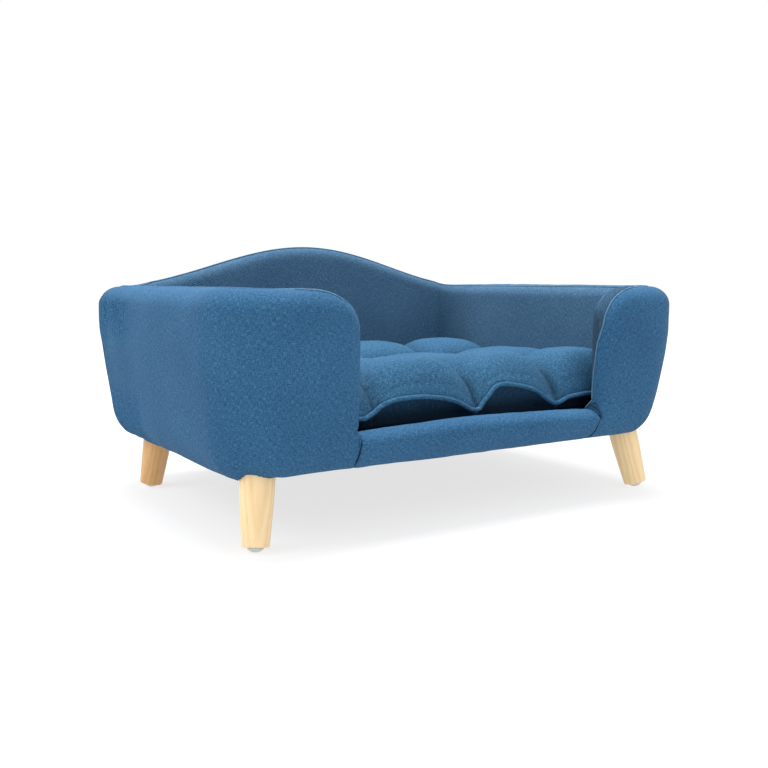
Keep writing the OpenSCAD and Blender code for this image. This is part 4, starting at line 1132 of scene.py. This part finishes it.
# cushion
cushion = {
    "halfWidth": 0.321, "halfDepth": 0.241, "floor": 0.1346, "top": 0.224, "columns": 4, "rows": 3,
    "creaseDepth": 0.024, "tuftDepth": 0.010, "sag": 0.012, "sagReach": 0.28, "edge": 0.060,
    "weltLow": 0.009, "weltHigh": 0.044, "corner": 0.014, "puffPower": 1.0, "drawIn": 0.015, "bend": 0.0095,
    "frontDepth": 0.014, "frontLift": 0.004, "frontCrease": -0.47, "frontEdge": 0.042,
    "cuts": 95, "voxel": 0.0058, "mass": 0.3, "stiffness": 12, "bending": 0.6, "pressure": 4.0, "frames": 20,
    "cap": 0.008, "shrink": 0.0035, "foot": 0.0025, "foldDepth": 0.0022, "foldWidth": 0.006,
    "creaseLines": (-0.1605, 0.0, 0.1605), "wrinkle": 0.00055, "wrinkleReach": 0.028, "wrinklePitch": 0.0026,
    "notches": (-0.180, 0.0094, 0.1623), "notchReach": 0.035, "notchFold": 0.0014, "notchPitch": 0.0023,
    "boxingWave": 0.0007,
}


def puffed(t, count):
    return abs(math.sin(math.pi * count * (t + 1) / 2)) ** cushion["puffPower"]


# height of the front welt by distance from the middle: puffs lift it, creases draw it down into notches
frontWelt = ((-0.321, 0.150), (-0.300, 0.158), (-0.262, 0.164), (-0.215, 0.158), (-0.190, 0.1500),
             (-0.1804, 0.1484), (-0.1713, 0.1567), (-0.1553, 0.1692), (-0.1421, 0.1728), (-0.1201, 0.1742),
             (-0.0927, 0.1748), (-0.055, 0.1705), (-0.025, 0.1630), (-0.006, 0.1510), (0.0094, 0.1425),
             (0.0150, 0.1480), (0.0266, 0.1635), (0.036, 0.1799), (0.0488, 0.1850), (0.0904, 0.1786),
             (0.1271, 0.1686), (0.1409, 0.1574), (0.1548, 0.1461), (0.1623, 0.1433), (0.173, 0.1486),
             (0.1869, 0.1556), (0.2228, 0.1585), (0.270, 0.158), (0.321, 0.152))


def bentAcross(u, v):
    # the middle crease bends to the notch in the front
    shift = cushion["bend"] * smooth((-v - 0.35) / 0.6) * max(0.0, 1 - abs(u) / 0.45)
    return u - shift / cushion["halfWidth"]


def rowPlace(v):
    # the front row of puffs is shorter than the others
    bend = cushion["frontCrease"]
    if v < bend:
        return -1 + (v + 1) * (2 / 3) / (bend + 1)
    if v < 1 / 3:
        return -1 / 3 + (v - bend) * (2 / 3) / (1 / 3 - bend)
    return v


def creasesAt(u, v):
    # 1 in a crease and 0 on a puff, for the creases from front to back and for those across
    across = puffed(bentAcross(u, v), cushion["columns"])
    return (1 - across) ** 2, (1 - puffed(rowPlace(v), cushion["rows"])) ** 2


def rimHeight(u, v):
    if v <= -0.999:
        return ramp(u * cushion["halfWidth"], frontWelt)
    puff = puffed(u, cushion["columns"]) if abs(v) >= 1 else puffed(rowPlace(v), cushion["rows"])
    rise = (cushion["weltHigh"] - cushion["weltLow"]) * (0.65 + 0.35 * puff)
    side = cushion["floor"] + cushion["weltLow"] + rise
    blend = smooth((-v - 0.8) / 0.2) if abs(u) >= 0.999 else 0.0
    return side * (1 - blend) + frontWelt[0 if u < 0 else -1][1] * blend


def nearestRim(u, v, sideways):
    return rimHeight(math.copysign(1, u), v) if sideways else rimHeight(u, math.copysign(1, v))


def cushionXY(u, v, grow=0.0):
    return (u * (cushion["halfWidth"] + grow - cushion["corner"] * abs(v) ** 12),
            v * (cushion["halfDepth"] + grow - cushion["corner"] * abs(u) ** 12))


def cushionTop(u, v):
    du, dv = creasesAt(u, v)
    sag = cushion["sag"] * math.exp(-(v / cushion["sagReach"]) ** 2 / 2) * (1 - u ** 4)
    front = smooth((-v - 0.1) / 0.5)
    deep = cushion["creaseDepth"] + cushion["frontDepth"] * front
    full = (cushion["top"] - cushion["shrink"] + cushion["frontLift"] * front - deep * du
            - cushion["creaseDepth"] * dv - cushion["tuftDepth"] * du * dv - sag)
    lengthwise = (1 - abs(v)) * cushion["halfDepth"] / (cushion["frontEdge"] if v < 0 else cushion["edge"])
    near = min(1.0, (1 - abs(u)) * cushion["halfWidth"] / cushion["edge"], lengthwise)
    rim = nearestRim(u, v, abs(u) * cushion["halfWidth"] > abs(v) * cushion["halfDepth"])
    return rim + (full - rim) * math.sqrt(max(0.0, 1 - (1 - near) ** 2))


def cushionForm():
    # a finely cut cube whose top, boxing and underside are set by their places
    mesh = bmesh.new()
    bmesh.ops.create_cube(mesh, size=2)
    bmesh.ops.subdivide_edges(mesh, edges=mesh.edges[:], cuts=cushion["cuts"], use_grid_fill=True)
    for v in mesh.verts:
        u, w, h = v.co
        if h > 0.9999:
            x, y = cushionXY(u, w)
            v.co = (x, y, cushionTop(u, w))
        elif h < -0.9999:
            x, y = cushionXY(u, w, -cushion["foot"])
            v.co = (x, y, cushion["floor"])
        else:
            share = (h + 1) / 2
            drawn = -cushion["drawIn"] * math.sin(math.pi * share ** 0.8) - cushion["foot"] * (1 - share)
            x, y = cushionXY(u, w, drawn)
            v.co = (x, y, cushion["floor"] + (rimHeight(u, w) - cushion["floor"]) * share)
    bmesh.ops.recalc_face_normals(mesh, faces=mesh.faces)
    return mesh


def belowRim(p):
    # 1 on the boxing, 0 on the top
    u, v = p.x / cushion["halfWidth"], p.y / cushion["halfDepth"]
    rim = nearestRim(u, v, (1 - abs(u)) * cushion["halfWidth"] < (1 - abs(v)) * cushion["halfDepth"])
    return smooth((rim + 0.002 - p.z) / 0.006)


def creaseShare(x, y):
    # 1 in a crease, 0 on a puff and along the edge
    u, v = x / cushion["halfWidth"], y / cushion["halfDepth"]
    du, dv = creasesAt(u, v)
    return max(du if abs(u) < 0.97 else 0, dv if abs(v) < 0.97 else 0)


def applied(piece):
    bpy.context.view_layer.update()
    made = bpy.data.meshes.new_from_object(piece.evaluated_get(bpy.context.evaluated_depsgraph_get()))
    piece.modifiers.clear()
    old = piece.data
    piece.data = made
    bpy.data.meshes.remove(old)


def simulated(piece):
    # pressure swells the puffs while creases, boxing and underside are held
    hold = piece.vertex_groups.new(name="held")
    start = [v.co.copy() for v in piece.data.vertices]
    free = []
    for i, p in enumerate(start):
        onTop = smooth((p.z - 0.180) / 0.02)
        share = min(1.0, creaseShare(p.x, p.y) * 1.3 + (1 - onTop))
        free.append(1 - share)
        hold.add([i], share, "REPLACE")
    cloth = piece.modifiers.new("cloth", "CLOTH")
    settings = cloth.settings
    settings.quality = 5
    settings.mass = cushion["mass"]
    settings.tension_stiffness = settings.compression_stiffness = cushion["stiffness"]
    settings.bending_stiffness = cushion["bending"]
    settings.vertex_group_mass = "held"
    settings.pin_stiffness = 1.0
    settings.use_pressure = True
    settings.uniform_pressure_force = cushion["pressure"]
    settings.effector_weights.gravity = 0
    cloth.point_cache.frame_start, cloth.point_cache.frame_end = 1, cushion["frames"]
    for number in range(1, cushion["frames"] + 1):
        scene.frame_set(number)
    swollen = piece.evaluated_get(bpy.context.evaluated_depsgraph_get()).data
    after = [v.co.copy() for v in swollen.vertices]
    piece.modifiers.clear()
    scene.frame_set(1)
    most = 0.0
    for i, (p, q) in enumerate(zip(start, after)):
        move = q - p
        limit = 0.001 + cushion["cap"] * free[i]
        if move.length > limit:
            move *= limit / move.length
        most = max(most, move.length)
        piece.data.vertices[i].co = p + move
    piece.vertex_groups.clear()
    print("cushion swelled by up to", round(most * 1000, 1), "mm")


cushionPiece = placed("cushionCover", meshData(cushionForm(), "cushionCover"))
skin = cushionPiece.modifiers.new("skin", "REMESH")
skin.mode, skin.voxel_size = "VOXEL", cushion["voxel"]
applied(cushionPiece)
simulated(cushionPiece)
finer = cushionPiece.modifiers.new("finer", "SUBSURF")
finer.levels = finer.render_levels = 1
applied(cushionPiece)


def finishCushion(data):
    # stitched creases drawn sharper, the boxing folded under each notch, painted shade in the creases and on
    # the boxing, and the cloth's own map
    mesh = bmesh.new()
    mesh.from_mesh(data)
    mesh.normal_update()
    shadeLayer = mesh.verts.layers.float.new("fold")
    for v in mesh.verts:
        p, n = v.co.copy(), v.normal.copy()
        u, w = p.x / cushion["halfWidth"], p.y / cushion["halfDepth"]
        boxing, crease = belowRim(p), creaseShare(p.x, p.y)
        # painted shade: darker deep in the creases between the puffs, and on the boxing below the welt, most
        # towards its foot
        onTop = 0.45 * crease ** 3 + 0.16 * crease
        boxingShade = 0.60 + 0.35 * smooth((0.168 - p.z) / 0.025)
        v[shadeLayer] = (1 - boxing) * onTop + boxing * boxingShade
        if n.z > 0.15 and p.z > 0.150:
            across = bentAcross(u, w) * cushion["halfWidth"]
            lineX = min(abs(across - c) for c in cushion["creaseLines"])
            lineY = min(abs(p.y - c * cushion["halfDepth"]) for c in (cushion["frontCrease"], 1 / 3))
            d = 0.0
            if abs(u) < 0.985:
                d += max(0.0, 1 - lineX / cushion["foldWidth"]) * (0.6 + 0.4 * (lineY < 0.03))
            if abs(w) < 0.985:
                d += max(0.0, 1 - lineY / cushion["foldWidth"])
            v.co -= n * cushion["foldDepth"] * min(1.2, d)
            # more painted shade along the stitched creases
            v[shadeLayer] = min(0.9, v[shadeLayer] + 0.35 * min(1.0, d) ** 2)
            # small tension wrinkles that leave the creases
            near = max(0.0, 1 - min(lineX, lineY) / cushion["wrinkleReach"])
            run = p.y if lineX < lineY else p.x
            row = math.sin(run / cushion["wrinklePitch"] + 3 * wave(p, 0.03, 2.5))
            v.co += n * cushion["wrinkle"] * near * row * (0.4 + wave(p, 0.04, 8.8))
        elif abs(n.z) < 0.6:
            notch = min(abs(p.x - c) for c in cushion["notches"]) if n.y < -0.7 else 1.0
            fold = max(0.0, 1 - notch / cushion["notchReach"]) * math.sin(notch / cushion["notchPitch"])
            fold *= cushion["notchFold"]
            fold += cushion["boxingWave"] * wave((p.x * 3, p.y * 3, p.z), 0.03, 3.9)
            v.co += n * fold
    uvLayer = mesh.loops.layers.uv.new("cloth")
    for face in mesh.faces:
        n = face.normal
        for loop in face.loops:
            p = loop.vert.co
            if abs(n.z) > 0.45 or face.calc_center_median().z > 0.186:
                loop[uvLayer].uv = (p.x, p.y)
            elif abs(n.y) > abs(n.x):
                loop[uvLayer].uv = (p.x, p.z - 0.4)
            else:
                loop[uvLayer].uv = (p.y, p.z - 0.4)
        face.smooth = True
    mesh.to_mesh(data)
    mesh.free()


finishCushion(cushionPiece.data)
cushionPiece.data.materials.append(cushionCloth)
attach(cushionPiece, "cushion")
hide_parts("cushion_cover", "cushion_core")
print("cushion made:", len(cushionPiece.data.polygons), "faces")

welt = {"radius": 0.0033, "uneven": 0.06, "out": 0.0016, "steps": 300, "sides": 14, "proud": 0.0019}


def weltPath():
    out = []
    for k in range(welt["steps"]):
        t = k / welt["steps"] * 4
        edge, s = int(t), (t % 1) * 2 - 1
        u, v = ((s, -1), (1, s), (-s, 1), (-1, -s))[edge]
        x, y = cushionXY(u, v, welt["out"])
        out.append(Vector((x, y, rimHeight(u, v))))
    # the corners are drawn round
    for _ in range(3):
        out = [(out[i - 1] + out[i] * 2 + out[(i + 1) % len(out)]) / 4 for i in range(len(out))]
    # where the cushion's edge turns in from under it, it follows the cloth
    data = cushionPiece.data
    surface = BVHTree.FromPolygons([v.co for v in data.vertices], [face.vertices for face in data.polygons])
    for i, p in enumerate(out):
        near, normal, number, distance = surface.find_nearest(p)
        if distance > welt["proud"] and (p - near).dot(normal) > 0:
            out[i] = near + (p - near) * (welt["proud"] / distance)
    return out


def weltRadius(i):
    return welt["radius"] * (1 + welt["uneven"] * math.sin(i * 1.7) * math.sin(i * 0.31))


weltPiece = bead("cushionPiping", weltPath(), weltRadius, welt["sides"], cushionCloth, body="cushion",
                 closed=True)
weltUV = weltPiece.data.uv_layers.new(name="cloth")
for loop in weltPiece.data.loops:
    p = weltPiece.data.vertices[loop.vertex_index].co
    weltUV.data[loop.index].uv = ((p.x + p.y) * 0.8, (p.x - p.y) * 0.5 + p.z)
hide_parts("cushion_piping")

# zip at the rear of the cushion
zipParts = {"toothPitch": 0.0020, "tooth": (0.0011, 0.0006, 0.0022), "toothShift": 0.0003,
            "toothProud": 0.0001, "tapeEdge": 0.0002, "sliderEdge": 0.0006, "sliderTaper": 0.72,
            "panelInset": 0.0009, "panelDepth": -0.0004}


def addBlock(mesh, centre, size):
    bmesh.ops.create_cube(mesh, size=1, matrix=Matrix.Translation(centre) @ Matrix.Diagonal((*size, 1)))


def bevelAll(mesh, offset, segments):
    bmesh.ops.bevel(mesh, geom=mesh.edges[:], offset=offset, segments=segments, profile=0.5, affect="EDGES",
                    material=-1)


tapeLow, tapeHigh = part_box("zip_tape")
tapeMesh = bmesh.new()
addBlock(tapeMesh, (tapeLow + tapeHigh) / 2, tapeHigh - tapeLow)
bevelAll(tapeMesh, zipParts["tapeEdge"], 2)
for i in range(int((tapeHigh.x - tapeLow.x) / zipParts["toothPitch"])):
    x = tapeLow.x + zipParts["toothPitch"] * (i + 0.5)
    z = (tapeLow.z + tapeHigh.z) / 2 + zipParts["toothShift"] * (1 if i % 2 else -1)
    addBlock(tapeMesh, (x, tapeHigh.y + zipParts["toothProud"], z), zipParts["tooth"])
tapePiece = pieceFrom(tapeMesh, "zipTape", "cushion", tapeCloth)
for polygon in tapePiece.data.polygons:
    polygon.use_smooth = False
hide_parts("zip_tape")

sliderLow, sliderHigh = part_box("zip_slider")
sliderMesh = bmesh.new()
sliderMiddle = (sliderLow + sliderHigh) / 2
addBlock(sliderMesh, sliderMiddle, sliderHigh - sliderLow)
for v in sliderMesh.verts:
    if v.co.x > sliderMiddle.x:
        v.co.z = sliderMiddle.z + (v.co.z - sliderMiddle.z) * zipParts["sliderTaper"]
bevelAll(sliderMesh, zipParts["sliderEdge"], 3)
outerFace = max(sliderMesh.faces, key=lambda f: f.normal.y * f.calc_area())
bmesh.ops.inset_region(sliderMesh, faces=[outerFace], thickness=zipParts["panelInset"],
                       depth=zipParts["panelDepth"])
sliderPiece = pieceFrom(sliderMesh, "zipSlider", "zip", zinc)
sharpAt(sliderPiece.data, 40)
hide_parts("zip_slider")
print("welt and zip made")

# CAD nodes that stay, with their own finishes
staying = {
    railWood: ("left_side_rail", "right_side_rail", "middle_rail"),
    crossWood: ("front_rail", "rear_rail"),
    plywood: [name for name in nodes if name.endswith("_board")],
    zinc: ("deck_screws", "board_screws", "tee_nuts", "zip_pull"),
    glidePlastic: [name for name in nodes if name.endswith("_glide")],
}
for material, names in staying.items():
    for name in names:
        slots = nodes[name].data.materials
        for i in range(len(slots)):
            slots[i] = material
        if not len(slots):
            slots.append(material)

# floor, light and camera
stageLook = {"floor": (137, 137, 139), "spots": (141, 141, 143), "floorGlow": 0.725, "farGlow": 0.80,
             "far": (0.9, 2.4), "key": 34.0, "fill": 4.0, "top": 120.0, "world": 1.0}
floorMesh = bmesh.new()
bmesh.ops.create_grid(floorMesh, x_segments=8, y_segments=8, size=6)
floor = placed("floor", meshData(floorMesh, "floor"))
floorMaterial, tree, shader = startMaterial("paleFloor")
floorPlace = put(tree, "ShaderNodeTexCoord").outputs["Object"]
tint = mixColour(tree, noisePattern(tree, floorPlace, 3.0), colour(*stageLook["floor"]),
                 colour(*stageLook["spots"]))
tree.links.new(tint, shader.inputs["Base Color"])
shader.inputs["Roughness"].default_value = 0.8
shader.inputs["Specular IOR Level"].default_value = 0.0
# the floor glows a little more away from the sofa, so it ends in white
distance = put(tree, "ShaderNodeVectorMath", {"operation": "LENGTH"}, i0=floorPlace).outputs["Value"]
glow = spread(tree, distance, *stageLook["far"], stageLook["floorGlow"], stageLook["farGlow"])
tree.links.new(glow, shader.inputs["Emission Color"])
shader.inputs["Emission Strength"].default_value = 1.0
floor.data.materials.append(floorMaterial)

world = scene.world or bpy.data.worlds.new("studio")
scene.world = world
world.use_nodes = True
background = world.node_tree.nodes["Background"]
background.inputs[0].default_value = (1, 1, 1, 1)
background.inputs[1].default_value = stageLook["world"]


def areaLight(name, place, size, power, tint=(1, 1, 1)):
    data = bpy.data.lights.new(name, "AREA")
    data.shape, data.size, data.energy, data.color = "DISK", size, power, tint
    lamp = placed(name, data)
    lamp.location = place
    lamp.rotation_euler = (Vector((0, 0, 0.2)) - Vector(place)).to_track_quat("-Z", "Y").to_euler()


areaLight("keyLight", (-2.6, 0.4, 2.3), 1.6, stageLook["key"], (1.0, 0.985, 0.96))
areaLight("topLight", (0.2, 0.5, 3.0), 2.2, stageLook["top"])
areaLight("fillLight", (1.2, -3.2, 1.7), 2.6, stageLook["fill"], (0.96, 0.98, 1.0))

lookAt = {"from": (-0.7723, -1.2250, 0.3303), "azimuth": 32.406, "down": 6.601, "lens": 42.11}
cameraData = bpy.data.cameras.new("camera")
cameraData.lens, cameraData.sensor_width, cameraData.clip_start = lookAt["lens"], 36, 0.05
cameraData.dof.use_dof = False
camera = placed("camera", cameraData)
a, e = math.radians(lookAt["azimuth"]), math.radians(lookAt["down"])
sight = Vector((math.sin(a) * math.cos(e), math.cos(a) * math.cos(e), -math.sin(e)))
camera.location = lookAt["from"]
camera.rotation_euler = sight.to_track_quat("-Z", "Y").to_euler()
scene.camera = camera
scene.view_settings.view_transform = "Standard"
print("stage, light and camera set")
